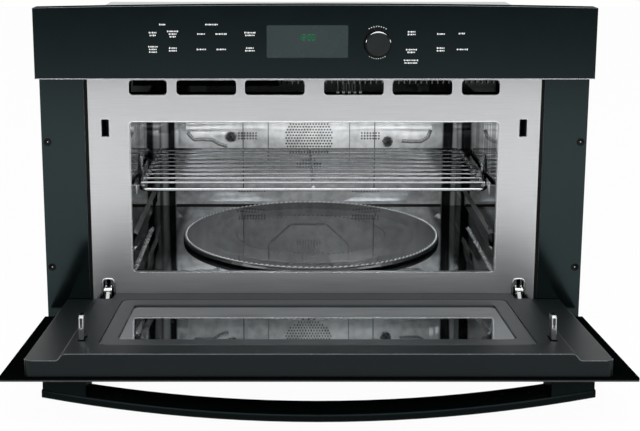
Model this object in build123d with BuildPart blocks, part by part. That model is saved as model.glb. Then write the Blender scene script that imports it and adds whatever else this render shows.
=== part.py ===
from build123d import *
from math import cos, radians, sin, sqrt
import os

os.makedirs("parts", exist_ok=True)

# Driving dimensions in millimetres. X is to the right, Y goes back into the cabinet, Z is up.
# The origin is under the middle of the front edge of the base, in the plane of the cabinet face.
front_width = 756.0
front_height = 486.0
case_side_inset = 23.0
case_top_drop = 40.0
cavity_depth = 412.0
rear_room = 133.0
case_width = front_width - 2 * case_side_inset
case_height = front_height - case_top_drop
case_depth = cavity_depth + rear_room
case_sheet = 1.0
base_sheet = 1.2
base_upstand = 20.0

# Running and seating gaps
seat_gap = 0.3
shaft_gap = 0.05
screw_hole_gap = 0.2

# Control panel
panel_height = 95.7
panel_crown = 4.0
panel_depth = 29.0
panel_face_sheet = 3.0
housing_wall = 2.5
panel_bottom = front_height - panel_crown - panel_height

# Mounting flanges and face frame
flange_width = 60.3
flange_sheet = 1.5
flange_bottom = 2.0
flange_inner = front_width / 2 - flange_width
face_side_gap = 5.3
face_sheet = 1.5
face_bottom = 44.0
face_half = flange_inner - face_side_gap
face_top = panel_bottom - seat_gap
mouth_side = 56.9
vent_band = 63.9
opening_bottom = 106.6
opening_corner = 4.0
opening_width = 2 * (face_half - mouth_side)
opening_top = face_top - vent_band
opening_height = opening_top - opening_bottom
lip_depth = 6.0
lip_sheet = 1.0

# Cavity
wall_sheet = 1.0
floor_drop = 5.0
ceiling_rise = 5.0
floor_top = opening_bottom - floor_drop
ceiling_bottom = opening_top + ceiling_rise
cavity_half = opening_width / 2 + lip_sheet

# Door, laid out across (x) and along (from the hinge pins), with "out" towards the outer face
pin_behind_face = 2.5
pin_height = 78.1
door_open_angle = 85.7
door_top_gap = 3.0
door_seal_gap = 0.5
door_thickness = 31.1
skin_sheet = 3.0
skin_bottom = 22.6
liner_sheet = 2.0
liner_bottom = 4.0
liner_inset = 3.2
liner_side_inset = 29.3
band_step = 8.1
plateau_inset = 9.6
plateau_slope = 5.4
pin_y = pin_behind_face - face_sheet
door_top = panel_bottom - door_top_gap - pin_height
plateau_out = pin_behind_face + door_seal_gap
band_out = plateau_out + band_step
skin_outer = plateau_out + door_thickness
skin_inner = skin_outer - skin_sheet
swing = radians(door_open_angle)
door_plane = Plane(origin=(0, pin_y, pin_height), x_dir=(1, 0, 0), z_dir=(0, -cos(swing), -sin(swing)))


def facing_front(y):
    """Sketch plane parallel to the front, at depth y: sketch up is +Z and extruding goes forward."""
    return Plane.XZ.offset(-y)


def facing_side(x):
    """Sketch plane parallel to the sides, at x: sketch right is +Y, sketch up is +Z."""
    return Plane.YZ.offset(x)


def across_door(along):
    """Sketch plane across the door at a distance from the pins: sketch up is towards the inside."""
    return Plane(
        origin=door_plane.from_local_coords((0, along, 0)), x_dir=(1, 0, 0), z_dir=door_plane.y_dir
    )


def beside_door(x):
    """Sketch plane parallel to the door's side edge, at x: sketch right is along, up is outwards."""
    return Plane(
        origin=door_plane.from_local_coords((x, 0, 0)), x_dir=door_plane.y_dir, z_dir=(1, 0, 0)
    )


def frame_height(half_span, top, bottom):
    """Middle and size of a rectangle from its half width and its two heights."""
    return (0, (top + bottom) / 2), (2 * half_span, top - bottom)


# Base pan: a folded tray that carries everything and rests on the cabinet shelf
base_half = case_width / 2 - case_sheet
base_depth = case_depth - case_sheet

with BuildPart() as base_pan:
    with BuildSketch(Plane.XY):
        with Locations((0, base_depth / 2)):
            Rectangle(2 * base_half, base_depth)
    extrude(amount=base_upstand)
    with BuildSketch(Plane.XY.offset(base_sheet)):
        with Locations((0, base_depth / 2)):
            Rectangle(2 * (base_half - base_sheet), base_depth - 2 * base_sheet)
    extrude(amount=base_upstand, mode=Mode.SUBTRACT)
base_pan.part.label = "base_pan"
export_step(base_pan.part, "parts/base_pan.step")

# Side panels: each has a front return that carries the flange and the edge of the face frame
return_width = 52.0
return_sheet = 1.2
side_vent_length = 70.0
side_vent_height = 4.0
side_vent_pitch = 14.0
side_vent_count = 8
side_vent_setback = 115.0
side_vent_drop = 196.0

for side_name, side in (("left", -1), ("right", 1)):
    with BuildPart() as side_panel:
        with BuildSketch(facing_side(side * case_width / 2)):
            with Locations((case_depth / 2, case_height / 2)):
                Rectangle(case_depth, case_height)
        extrude(amount=-side * case_sheet)
        with BuildSketch(facing_front(0)):
            with Locations((side * (case_width / 2 - return_width / 2), (base_upstand + case_height) / 2)):
                Rectangle(return_width, case_height - base_upstand - 2 * case_sheet)
        extrude(amount=-return_sheet)
        with BuildSketch(facing_side(side * case_width / 2)):
            with Locations((case_depth - side_vent_setback, case_height - side_vent_drop)):
                with GridLocations(0, side_vent_pitch, 1, side_vent_count):
                    SlotOverall(side_vent_length, side_vent_height)
        extrude(amount=-side * case_sheet, mode=Mode.SUBTRACT)
    side_panel.part.label = f"side_panel_{side_name}"
    export_step(side_panel.part, f"parts/side_panel_{side_name}.step")

# Top cover: closes the case between the side panels, with rows of air slots
top_slot_length = 60.0
top_slot_width = 4.0
top_slot_pitch_x = 90.0
top_slot_pitch_y = 12.0
top_slot_columns = 6
top_slot_rows = 8
top_turn_down = 12.0
top_slots_share = 0.62

with BuildPart() as top_cover:
    with BuildSketch(Plane.XY.offset(case_height)):
        with Locations((0, base_depth / 2)):
            Rectangle(2 * base_half, base_depth)
    extrude(amount=-case_sheet)
    with BuildSketch(Plane.XY.offset(case_height - case_sheet)):
        with Locations((0, base_depth - case_sheet / 2)):
            Rectangle(2 * base_half, case_sheet)
    extrude(amount=-top_turn_down)
    with BuildSketch(Plane.XY.offset(case_height)):
        with Locations((0, base_depth * top_slots_share)):
            with GridLocations(top_slot_pitch_x, top_slot_pitch_y, top_slot_columns, top_slot_rows):
                SlotOverall(top_slot_length, top_slot_width)
    extrude(amount=-case_sheet, mode=Mode.SUBTRACT)
top_cover.part.label = "top_cover"
export_step(top_cover.part, "parts/top_cover.step")

# Rear panel: closes the back, with the conduit hole, an air grille and holes for the case screws
conduit_bore = 11.0
conduit_wall = 3.0
conduit_x = -250.0
conduit_drop = 66.0
conduit_z = case_height - conduit_drop
conduit_flange = 4.0
conduit_length = 24.0
conduit_hole = conduit_bore + conduit_wall
rear_grille_x = 150.0
rear_grille_z = 110.0
rear_slot_pitch = 9.0
rear_slot_count = 12
rear_slot_height = 60.0
rear_slot_width = 4.0
screw_radius = 2.0
screw_head_radius = 4.0
screw_head_height = 2.2
screw_length = 8.0
rear_screw_inset = 14.0
rear_screw_half = base_half - rear_screw_inset
rear_screw_low = base_upstand + rear_screw_inset
rear_screw_high = case_height - top_turn_down - rear_screw_inset
rear_screw_points = [
    (x, z)
    for x in (-rear_screw_half, -rear_screw_half / 3, rear_screw_half / 3, rear_screw_half)
    for z in (rear_screw_low, rear_screw_high)
]

with BuildPart() as rear_panel:
    with BuildSketch(facing_front(case_depth)):
        with Locations((0, case_height / 2)):
            Rectangle(2 * base_half, case_height)
        with Locations((conduit_x, conduit_z)):
            Circle(conduit_hole, mode=Mode.SUBTRACT)
        with Locations(*rear_screw_points):
            Circle(screw_radius + screw_hole_gap, mode=Mode.SUBTRACT)
        with Locations((rear_grille_x, rear_grille_z)):
            with GridLocations(rear_slot_pitch, 0, rear_slot_count, 1):
                SlotOverall(rear_slot_height, rear_slot_width, rotation=90, mode=Mode.SUBTRACT)
    extrude(amount=case_sheet)
rear_panel.part.label = "rear_panel"
export_step(rear_panel.part, "parts/rear_panel.step")

# Case screws: eight alike, in the rear panel
with BuildPart() as case_screws:
    with BuildSketch(facing_front(case_depth)):
        with Locations(*rear_screw_points):
            Circle(screw_head_radius)
    extrude(amount=-screw_head_height)
    with BuildSketch(facing_front(case_depth)):
        with Locations(*rear_screw_points):
            Circle(screw_radius)
    extrude(amount=screw_length)
case_screws.part.label = "case_screws"
export_step(case_screws.part, "parts/case_screws.step")

# Conduit bushing: the supply conduit enters the case through its bore
with BuildPart() as conduit_bushing:
    with BuildSketch(facing_front(case_depth)):
        with Locations((conduit_x, conduit_z)):
            Circle(conduit_hole + conduit_flange)
    extrude(amount=-conduit_flange)
    with BuildSketch(facing_front(case_depth + conduit_flange)):
        with Locations((conduit_x, conduit_z)):
            Circle(conduit_hole)
    extrude(amount=conduit_length)
    with BuildSketch(facing_front(case_depth + conduit_flange)):
        with Locations((conduit_x, conduit_z)):
            Circle(conduit_bore)
    extrude(amount=conduit_length, mode=Mode.SUBTRACT)
conduit_bushing.part.label = "conduit_bushing"
export_step(conduit_bushing.part, "parts/conduit_bushing.step")

# Front rail: the cross member that carries the control panel
rail_sheet = return_sheet
rail_half = case_width / 2 - return_width - seat_gap
rail_window_width = 120.0
rail_window_height = 24.0

with BuildPart() as front_rail:
    with BuildSketch(facing_front(0)):
        with Locations((0, (panel_bottom + case_height - case_sheet) / 2)):
            Rectangle(2 * rail_half, case_height - case_sheet - panel_bottom)
            Rectangle(rail_window_width, rail_window_height, mode=Mode.SUBTRACT)
    extrude(amount=-rail_sheet)
    with BuildSketch(Plane.XY.offset(case_height - case_sheet)):
        with Locations((0, rail_sheet + top_turn_down / 2)):
            Rectangle(2 * rail_half, top_turn_down)
    extrude(amount=-rail_sheet)
front_rail.part.label = "front_rail"
export_step(front_rail.part, "parts/front_rail.step")

# Mounting flanges: cover strips on both sides, with two dimpled screw holes each and a relief
# groove behind, which parts the seat on the cabinet from the seat on the case
flange_screw_inset = 8.4
flange_screw_low = 114.2
flange_screw_drop = 91.5
flange_hole = 2.8
flange_dimple = 5.6
flange_dimple_angle = 150.0
flange_groove_width = 2.0
flange_groove_depth = 0.5
flange_height = face_top - flange_bottom
flange_screw_x = front_width / 2 - flange_screw_inset
flange_screw_high = face_top - flange_screw_drop

with BuildPart() as mounting_flanges:
    with BuildSketch(facing_front(-flange_sheet)):
        for side in (-1, 1):
            with Locations((side * (flange_inner + flange_width / 2), flange_bottom + flange_height / 2)):
                Rectangle(flange_width, flange_height)
    extrude(amount=-flange_sheet)
    screw_points = [
        (side * flange_screw_x, z) for side in (-1, 1) for z in (flange_screw_low, flange_screw_high)
    ]
    with Locations(facing_front(-flange_sheet)):
        with Locations(*screw_points):
            CounterSinkHole(flange_hole, flange_dimple, flange_sheet, flange_dimple_angle)
    with BuildSketch(facing_front(0)):
        for side in (-1, 1):
            with Locations(
                (side * (case_width + flange_groove_width) / 2, flange_bottom + flange_height / 2)
            ):
                Rectangle(flange_groove_width, flange_height)
    extrude(amount=flange_groove_depth, mode=Mode.SUBTRACT)
mounting_flanges.part.label = "mounting_flanges"
export_step(mounting_flanges.part, "parts/mounting_flanges.step")

# Face frame: brushed front with the oven mouth, vent slots, latch slots and hinge arches
vent_slot_height = 20.5
vent_slot_top_margin = 5.2
vent_slot_corner = 5.0
vent_outer_width = 52.3
vent_inner_width = 82.4
vent_slot_centres = ((54.4, vent_inner_width), (148.6, vent_inner_width), (229.0, vent_outer_width))
vent_slot_z = face_top - vent_slot_top_margin - vent_slot_height / 2
latch_inset = 23.2
latch_drop = 72.05
latch_x = face_half - latch_inset
latch_slot_width = 10.3
latch_slot_height = 24.5
latch_slot_z = face_top - latch_drop
hinge_inset = 21.4
hinge_x = face_half - hinge_inset
arch_width = 20.0
arch_rise = 19.7
arch_top = pin_height + arch_rise

with BuildPart() as face_frame:
    with BuildSketch(facing_front(-face_sheet)):
        with Locations((0, (face_top + face_bottom) / 2)):
            Rectangle(2 * face_half, face_top - face_bottom)
        with Locations((0, opening_bottom + opening_height / 2)):
            RectangleRounded(opening_width, opening_height, opening_corner, mode=Mode.SUBTRACT)
        for slot_x, slot_width in vent_slot_centres:
            with Locations((-slot_x, vent_slot_z), (slot_x, vent_slot_z)):
                RectangleRounded(slot_width, vent_slot_height, vent_slot_corner, mode=Mode.SUBTRACT)
        with Locations((-latch_x, latch_slot_z), (latch_x, latch_slot_z)):
            Rectangle(latch_slot_width, latch_slot_height, mode=Mode.SUBTRACT)
        arch_square = arch_top - arch_width / 2 - face_bottom
        for side in (-1, 1):
            with Locations((side * hinge_x, face_bottom + arch_square / 2)):
                Rectangle(arch_width, arch_square, mode=Mode.SUBTRACT)
            with Locations((side * hinge_x, arch_top - arch_width / 2)):
                Circle(arch_width / 2, mode=Mode.SUBTRACT)
    extrude(amount=-face_sheet)
    with BuildSketch(facing_front(0)):
        with Locations((0, opening_bottom + opening_height / 2)):
            RectangleRounded(
                opening_width + 2 * lip_sheet, opening_height + 2 * lip_sheet, opening_corner + lip_sheet
            )
            RectangleRounded(opening_width, opening_height, opening_corner, mode=Mode.SUBTRACT)
    extrude(amount=-lip_depth)
face_frame.part.label = "face_frame"
export_step(face_frame.part, "parts/face_frame.step")

# Bottom vent: louvred strip under the door, level with the flanges
louvre_count = 4
louvre_height = 4.0
louvre_length = 250.0
vent_strip_half = flange_inner - seat_gap
vent_strip_top = face_bottom - seat_gap
vent_strip_height = vent_strip_top - flange_bottom

with BuildPart() as bottom_vent:
    with BuildSketch(facing_front(-flange_sheet)):
        with Locations((0, flange_bottom + vent_strip_height / 2)):
            Rectangle(2 * vent_strip_half, vent_strip_height)
            with GridLocations(vent_strip_half, vent_strip_height / (louvre_count + 1), 2, louvre_count):
                SlotOverall(louvre_length, louvre_height, mode=Mode.SUBTRACT)
    extrude(amount=-flange_sheet)
bottom_vent.part.label = "bottom_vent"
export_step(bottom_vent.part, "parts/bottom_vent.step")

# Exhaust duct: a box behind the vent slots; a comb of fins and a plain baffle hang from its roof
duct_margin = 6.0
duct_sheet = 1.0
duct_depth = 60.0
fin_sheet = 1.4
fin_pitch = 7.7
fin_height = 9.0
fin_depth = 16.0
fin_setback = 5.0
fin_count = 40
baffle_height = 12.0
baffle_margin = 5.0
fin_right = vent_slot_centres[2][0] + vent_outer_width / 2
duct_half = fin_right + duct_margin
duct_top = face_top - duct_sheet
duct_bottom = vent_slot_z - vent_slot_height / 2 - duct_margin
duct_roof = duct_top - duct_sheet
baffle_left = baffle_margin - fin_right
baffle_right = fin_right - (fin_count - 0.5) * fin_pitch

with BuildPart() as exhaust_duct:
    with BuildSketch(facing_front(0)):
        place, size = frame_height(duct_half, duct_top, duct_bottom)
        with Locations(place):
            Rectangle(*size)
            Rectangle(size[0] - 2 * duct_sheet, size[1] - 2 * duct_sheet, mode=Mode.SUBTRACT)
    extrude(amount=-duct_depth)
    with BuildSketch(facing_front(fin_setback)):
        for fin in range(fin_count):
            with Locations((fin_right - fin * fin_pitch, duct_roof - fin_height / 2)):
                Rectangle(fin_sheet, fin_height)
    extrude(amount=-fin_depth)
    with BuildSketch(facing_front(fin_setback)):
        with Locations(((baffle_left + baffle_right) / 2, duct_roof - baffle_height / 2)):
            Rectangle(baffle_right - baffle_left, baffle_height)
    extrude(amount=-fin_sheet)
exhaust_duct.part.label = "exhaust_duct"
export_step(exhaust_duct.part, "parts/exhaust_duct.step")

# Turntable places, shared by the floor, tray, ring, rollers, coupler and motor
tray_setback = 1.0
well_margin = 22.0
tray_overhang = 15.0
tray_height = 7.0
tray_glass = 4.0
well_depth = 14.6
coupler_hole = 9.0
roller_radius = 7.4
roller_inset = 35.0
roller_width = 8.0
tray_y = cavity_depth / 2 + tray_setback
well_radius = tray_y - well_margin
tray_radius = well_radius + tray_overhang
roller_track = well_radius - roller_inset
well_bottom = floor_top - wall_sheet - well_depth
roller_z = well_bottom + wall_sheet + seat_gap + roller_radius
tray_bottom = roller_z + roller_radius + seat_gap

# Cavity floor: a sheet with a round pressed well that the roller ring runs in
with BuildPart() as cavity_floor:
    with BuildSketch(Plane.XY.offset(floor_top - wall_sheet)):
        with Locations((0, (cavity_depth + wall_sheet) / 2)):
            Rectangle(2 * (cavity_half + wall_sheet), cavity_depth + wall_sheet)
    extrude(amount=wall_sheet)
    with BuildSketch(Plane.XY.offset(well_bottom)):
        with Locations((0, tray_y)):
            Circle(well_radius + wall_sheet)
    extrude(amount=floor_top - wall_sheet - well_bottom)
    with BuildSketch(Plane.XY.offset(well_bottom + wall_sheet)):
        with Locations((0, tray_y)):
            Circle(well_radius)
    extrude(amount=floor_top - well_bottom, mode=Mode.SUBTRACT)
    with BuildSketch(Plane.XY.offset(well_bottom)):
        with Locations((0, tray_y)):
            Circle(coupler_hole)
    extrude(amount=wall_sheet, mode=Mode.SUBTRACT)
cavity_floor.part.label = "cavity_floor"
export_step(cavity_floor.part, "parts/cavity_floor.step")

# Cavity side walls: polished sheets with a pressed rib low down and a patch of air holes at the back
rib_front_y = 28.0
rib_setback = 100.0
rib_rise = 24.9
rib_height = 25.0
rib_depth = 4.0
side_hole_radius = 2.0
side_hole_pitch = 6.0
side_hole_setback = 72.0
side_hole_drop = 42.1
side_hole_columns = 8
side_hole_rows = 5
wall_height = ceiling_bottom - floor_top
rib_back_y = cavity_depth - rib_setback
rib_place = ((rib_front_y + rib_back_y) / 2, opening_bottom + rib_rise + rib_height / 2)

with BuildPart() as cavity_side_walls:
    for side in (-1, 1):
        with BuildSketch(facing_side(side * cavity_half)):
            with Locations((cavity_depth / 2, floor_top + wall_height / 2)):
                Rectangle(cavity_depth, wall_height)
            with Locations((cavity_depth - side_hole_setback, ceiling_bottom - side_hole_drop)):
                with GridLocations(side_hole_pitch, side_hole_pitch, side_hole_columns, side_hole_rows):
                    Circle(side_hole_radius, mode=Mode.SUBTRACT)
        extrude(amount=side * wall_sheet)
        for shift, blend_mode in ((0, Mode.ADD), (wall_sheet, Mode.SUBTRACT)):
            for inset, reach in ((0, 0), (rib_depth, rib_depth)):
                with BuildSketch(facing_side(side * (cavity_half + shift - reach))):
                    with Locations(rib_place):
                        Rectangle(rib_back_y - rib_front_y - 2 * inset, rib_height - 2 * inset)
            loft(mode=blend_mode)
cavity_side_walls.part.label = "cavity_side_walls"
export_step(cavity_side_walls.part, "parts/cavity_side_walls.step")

# Cavity ceiling: a sheet with slots under the halogen lamps and the microwave port
lamp_y = 205.0
lamp_pitch = 60.0
lamp_slot_length = 12.0
lamp_slot_width = 5.0
lamp_slot_columns = 18
lamp_slot_rows = 3
port_x = 205.0
port_y = 250.0
port_width = 30.0
port_length = 70.0

with BuildPart() as cavity_ceiling:
    with BuildSketch(Plane.XY.offset(ceiling_bottom)):
        with Locations((0, (cavity_depth + wall_sheet) / 2)):
            Rectangle(2 * (cavity_half + wall_sheet), cavity_depth + wall_sheet)
        for row_y in (lamp_y - lamp_pitch / 2, lamp_y + lamp_pitch / 2):
            with Locations((0, row_y)):
                with GridLocations(
                    lamp_slot_length + 4, lamp_slot_width + 4, lamp_slot_columns, lamp_slot_rows
                ):
                    SlotOverall(lamp_slot_length, lamp_slot_width, mode=Mode.SUBTRACT)
        with Locations((port_x, port_y)):
            Rectangle(port_width, port_length, mode=Mode.SUBTRACT)
    extrude(amount=wall_sheet)
cavity_ceiling.part.label = "cavity_ceiling"
export_step(cavity_ceiling.part, "parts/cavity_ceiling.step")

# Cavity back wall: pressed forward in two steps, with the fan's air holes
emboss_depth = 6.0
emboss_side = 25.5
emboss_slope = 19.0
emboss_margin = 8.0
emboss_outer_half = cavity_half - emboss_side
emboss_inner_half = emboss_outer_half - emboss_slope
shield_depth = 4.0
shield_half = 69.5
shield_foot_half = 31.0
shield_corner_rise = 73.4
shield_foot_rise = 37.4
shield_top_cut = 8.0
fan_rise = 111.4
air_hole_radius = 1.55
air_hole_pitch = 4.9
air_field_radius = 40.5
air_field_rise = 116.8
foot_hole_columns = 9
foot_hole_rows = 2
foot_hole_drop = 48.0
side_patch_x = 106.0
side_patch_rise = 119.9
side_patch_columns = 7
side_patch_rows = 3
low_patch_x = 99.0
low_patch_rise = 24.4
low_patch_columns = 10
low_patch_rows = 2
shield_corner_z = opening_bottom + shield_corner_rise
shield_bottom = opening_bottom + shield_foot_rise
fan_z = opening_bottom + fan_rise
air_field_z = opening_bottom + air_field_rise
side_patch_z = opening_bottom + side_patch_rise
low_patch_z = opening_bottom + low_patch_rise
emboss_y = cavity_depth - emboss_depth
shield_y = emboss_y - shield_depth
emboss_top = ceiling_bottom - emboss_margin
emboss_bottom = floor_top + emboss_margin
shield_top = emboss_top - emboss_slope


def air_field():
    """Places of the fan's air holes: staggered rows that fill a circle."""
    rows = int(air_field_radius // air_hole_pitch)
    places = []
    for row in range(-rows, rows + 1):
        for column in range(-rows - 1, rows + 1):
            x = air_hole_pitch * (column + 0.5 * (row % 2))
            z = air_hole_pitch * row
            if sqrt(x**2 + z**2) <= air_field_radius:
                places.append((x, air_field_z + z))
    return places


def shield_outline():
    """Outline of the fan cover: chamfered top corners and a tapered foot."""
    right_side = [
        (shield_foot_half, shield_bottom),
        (shield_half, shield_corner_z),
        (shield_half, shield_top - shield_top_cut),
        (shield_half - shield_top_cut, shield_top),
    ]
    left_side = [(-x, z) for x, z in reversed(right_side)]
    Polygon(*right_side, *left_side, align=None)


with BuildPart() as cavity_back_wall:
    with BuildSketch(facing_front(cavity_depth)):
        with Locations((0, floor_top + wall_height / 2)):
            Rectangle(2 * cavity_half, wall_height)
    extrude(amount=-wall_sheet)
    for shift, blend_mode in ((0, Mode.ADD), (wall_sheet, Mode.SUBTRACT)):
        with BuildSketch(facing_front(cavity_depth + shift)):
            place, size = frame_height(emboss_outer_half, emboss_top, emboss_bottom)
            with Locations(place):
                Rectangle(*size)
        with BuildSketch(facing_front(emboss_y + shift)):
            place, size = frame_height(
                emboss_inner_half, emboss_top - emboss_slope, emboss_bottom + emboss_slope
            )
            with Locations(place):
                Rectangle(*size)
        loft(mode=blend_mode)
    with BuildSketch(facing_front(emboss_y)):
        shield_outline()
    extrude(amount=shield_depth)
    with BuildSketch(facing_front(emboss_y + wall_sheet)):
        shield_outline()
        offset(amount=-wall_sheet, mode=Mode.REPLACE)
    extrude(amount=shield_depth, mode=Mode.SUBTRACT)
    with BuildSketch(facing_front(shield_y)):
        with Locations(*air_field()):
            Circle(air_hole_radius)
        with Locations((0, air_field_z - foot_hole_drop)):
            with GridLocations(air_hole_pitch, air_hole_pitch, foot_hole_columns, foot_hole_rows):
                Circle(air_hole_radius)
    extrude(amount=-2 * wall_sheet, mode=Mode.SUBTRACT)
    with BuildSketch(facing_front(emboss_y)):
        for side in (-1, 1):
            with Locations((side * side_patch_x, side_patch_z)):
                with GridLocations(air_hole_pitch, air_hole_pitch, side_patch_columns, side_patch_rows):
                    Circle(air_hole_radius)
            with Locations((side * low_patch_x, low_patch_z)):
                with GridLocations(air_hole_pitch, air_hole_pitch, low_patch_columns, low_patch_rows):
                    Circle(air_hole_radius)
    extrude(amount=-2 * wall_sheet, mode=Mode.SUBTRACT)
cavity_back_wall.part.label = "cavity_back_wall"
export_step(cavity_back_wall.part, "parts/cavity_back_wall.step")

# Wire rack: nine cross wires on two side wires, with a dropped front bar and a raised back bar
rack_side_gap = 5.5
rack_rise = 118.0
rack_wire = 1.9
rack_frame_wire = 2.6
rack_front_y = 37.0
rack_first_y = 52.5
rack_last_gap = 29.5
rack_wire_count = 9
rack_back_setback = 96.0
rack_half = opening_width / 2 - rack_side_gap
rack_z = opening_bottom + rack_rise
rack_back_y = cavity_depth - rack_back_setback
rack_wire_pitch = (rack_back_y - rack_last_gap - rack_first_y) / (rack_wire_count - 1)
rack_front_drop = 2.4
rack_slope_length = 12.0
rack_weld = 0.3
rack_side_z = rack_z - rack_wire - rack_frame_wire + rack_weld
rack_low_z = rack_side_z - rack_front_drop
rack_side_half = rack_half - rack_frame_wire
rack_bend = 10.0

with BuildPart() as wire_rack:
    with BuildLine():
        FilletPolyline(
            (0, rack_front_y, rack_low_z),
            (rack_side_half, rack_front_y, rack_low_z),
            (rack_side_half, rack_front_y + rack_slope_length, rack_side_z),
            (rack_side_half, rack_back_y, rack_side_z),
            (0, rack_back_y, rack_side_z),
            radius=rack_bend,
        )
        mirror(about=Plane.YZ)
    with BuildSketch(facing_side(0)):
        with Locations((rack_front_y, rack_low_z)):
            Circle(rack_frame_wire)
    sweep()
    with BuildSketch(facing_side(-rack_side_half)):
        for wire in range(rack_wire_count):
            with Locations((rack_first_y + wire * rack_wire_pitch, rack_z)):
                Circle(rack_wire)
    extrude(amount=2 * rack_side_half)
    with BuildSketch(facing_front(rack_front_y)):
        with Locations((0, rack_side_z)):
            Circle(rack_frame_wire)
    extrude(amount=rack_front_y - rack_back_y)
wire_rack.part.label = "wire_rack"
export_step(wire_rack.part, "parts/wire_rack.step")

# Rack guides: angle ledges on the side walls that the rack's side wires slide on
guide_sheet = 1.2
guide_front_y = 68.0
guide_setback = 72.0
guide_back_y = cavity_depth - guide_setback
guide_top = rack_side_z - rack_frame_wire - seat_gap
guide_height = 14.0
guide_reach = cavity_half - rack_side_half + rack_frame_wire

with BuildPart() as rack_guides:
    with BuildSketch(facing_front(guide_front_y)):
        for side in (-1, 1):
            with Locations((side * (cavity_half - guide_reach / 2), guide_top - guide_sheet / 2)):
                Rectangle(guide_reach, guide_sheet)
            with Locations((side * (cavity_half - guide_sheet / 2), guide_top - guide_height / 2)):
                Rectangle(guide_sheet, guide_height)
    extrude(amount=guide_front_y - guide_back_y)
rack_guides.part.label = "rack_guides"
export_step(rack_guides.part, "parts/rack_guides.step")

# Turntable tray: a shallow glass dish with a raised rim and three drive lugs underneath
tray_rim_roll = 3.0
tray_slope_reach = 34.0
tray_floor_radius = tray_radius - tray_slope_reach
hub_radius = 20.0
lug_radius = 4.0
lug_ring = 14.0
lug_height = 3.5
tray_top = tray_bottom + tray_height

with BuildPart() as turntable_tray:
    with BuildSketch(Plane.XZ.offset(-tray_y)):
        with BuildLine():
            Polyline(
                (0, tray_bottom),
                (tray_floor_radius, tray_bottom),
                (tray_radius - 2 * tray_rim_roll, tray_top - tray_glass),
                (tray_radius, tray_top - tray_glass),
                (tray_radius, tray_top),
                (tray_radius - 2 * tray_rim_roll, tray_top),
                (tray_floor_radius - tray_glass, tray_bottom + tray_glass),
                (0, tray_bottom + tray_glass),
                close=True,
            )
        make_face()
    revolve(axis=Axis((0, tray_y, 0), (0, 0, 1)))
    with BuildSketch(Plane.XY.offset(tray_bottom)):
        with Locations((0, tray_y)):
            with PolarLocations(lug_ring, 3, start_angle=60):
                Circle(lug_radius)
    extrude(amount=-lug_height)
turntable_tray.part.label = "turntable_tray"
export_step(turntable_tray.part, "parts/turntable_tray.step")

# Turntable coupler: three arms that push the tray's lugs, on the motor's spindle
arm_width = 8.0
arm_height = 5.0
spindle_radius = 3.5
hub_core = 8.0
motor_height = 22.0
motor_size = 62.0
coupler_top = tray_bottom - seat_gap
motor_top = well_bottom
spindle_bottom = motor_top - motor_height / 2

with BuildPart() as turntable_coupler:
    with BuildSketch(Plane.XY.offset(coupler_top)):
        with Locations((0, tray_y)):
            Circle(hub_core)
            with PolarLocations(hub_radius / 2, 3):
                Rectangle(hub_radius, arm_width)
    extrude(amount=-arm_height)
    with BuildSketch(Plane.XY.offset(coupler_top)):
        with Locations((0, tray_y)):
            Circle(spindle_radius)
    extrude(amount=spindle_bottom - coupler_top)
turntable_coupler.part.label = "turntable_coupler"
export_step(turntable_coupler.part, "parts/turntable_coupler.step")

# Turntable motor: a flat box under the well, bored for the spindle
with BuildPart() as turntable_motor:
    with BuildSketch(Plane.XY.offset(motor_top)):
        with Locations((0, tray_y)):
            RectangleRounded(motor_size, motor_size, motor_size / 8)
    extrude(amount=-motor_height)
    with BuildSketch(Plane.XY.offset(motor_top)):
        with Locations((0, tray_y)):
            Circle(spindle_radius + shaft_gap)
    extrude(amount=spindle_bottom - motor_top - seat_gap, mode=Mode.SUBTRACT)
turntable_motor.part.label = "turntable_motor"
export_step(turntable_motor.part, "parts/turntable_motor.step")

# Roller ring: a flat ring with three axle stubs
ring_half_width = 5.0
ring_sheet = 3.0
ring_radius = roller_track - roller_width / 2 - ring_half_width - seat_gap
axle_radius = 2.0
axle_length = roller_width + 2 * seat_gap + 2.0
roller_angles = (90, 210, 330)

with BuildPart() as roller_ring:
    with BuildSketch(Plane.XY.offset(roller_z - ring_sheet / 2)):
        with Locations((0, tray_y)):
            Circle(ring_radius + ring_half_width)
            Circle(ring_radius - ring_half_width, mode=Mode.SUBTRACT)
    extrude(amount=ring_sheet)
    for angle in roller_angles:
        spoke = radians(angle)
        stub_start = ring_radius
        stub_plane = Plane(
            origin=(stub_start * cos(spoke), tray_y + stub_start * sin(spoke), roller_z),
            z_dir=(cos(spoke), sin(spoke), 0),
        )
        with BuildSketch(stub_plane):
            Circle(axle_radius)
        extrude(amount=ring_half_width + axle_length)
roller_ring.part.label = "roller_ring"
export_step(roller_ring.part, "parts/roller_ring.step")

# Rollers: three wheels that run between the well and the tray
for number, angle in enumerate(roller_angles, start=1):
    spoke = radians(angle)
    wheel_start = roller_track - roller_width / 2
    wheel_plane = Plane(
        origin=(wheel_start * cos(spoke), tray_y + wheel_start * sin(spoke), roller_z),
        z_dir=(cos(spoke), sin(spoke), 0),
    )
    with BuildPart() as roller:
        with BuildSketch(wheel_plane):
            Circle(roller_radius)
            Circle(axle_radius + shaft_gap, mode=Mode.SUBTRACT)
        extrude(amount=roller_width)
    roller.part.label = f"roller_{number}"
    export_step(roller.part, f"parts/roller_{number}.step")

# Fan housing: a round drum on the back of the cavity
drum_radius = 98.0
drum_depth = 50.0
drum_sheet = 1.2
fan_shaft = 4.0
drum_front = cavity_depth + wall_sheet
drum_back = drum_front + drum_depth
heater_lead_x = 88.0
heater_tube = 3.2
heater_lead = 2.6

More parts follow.
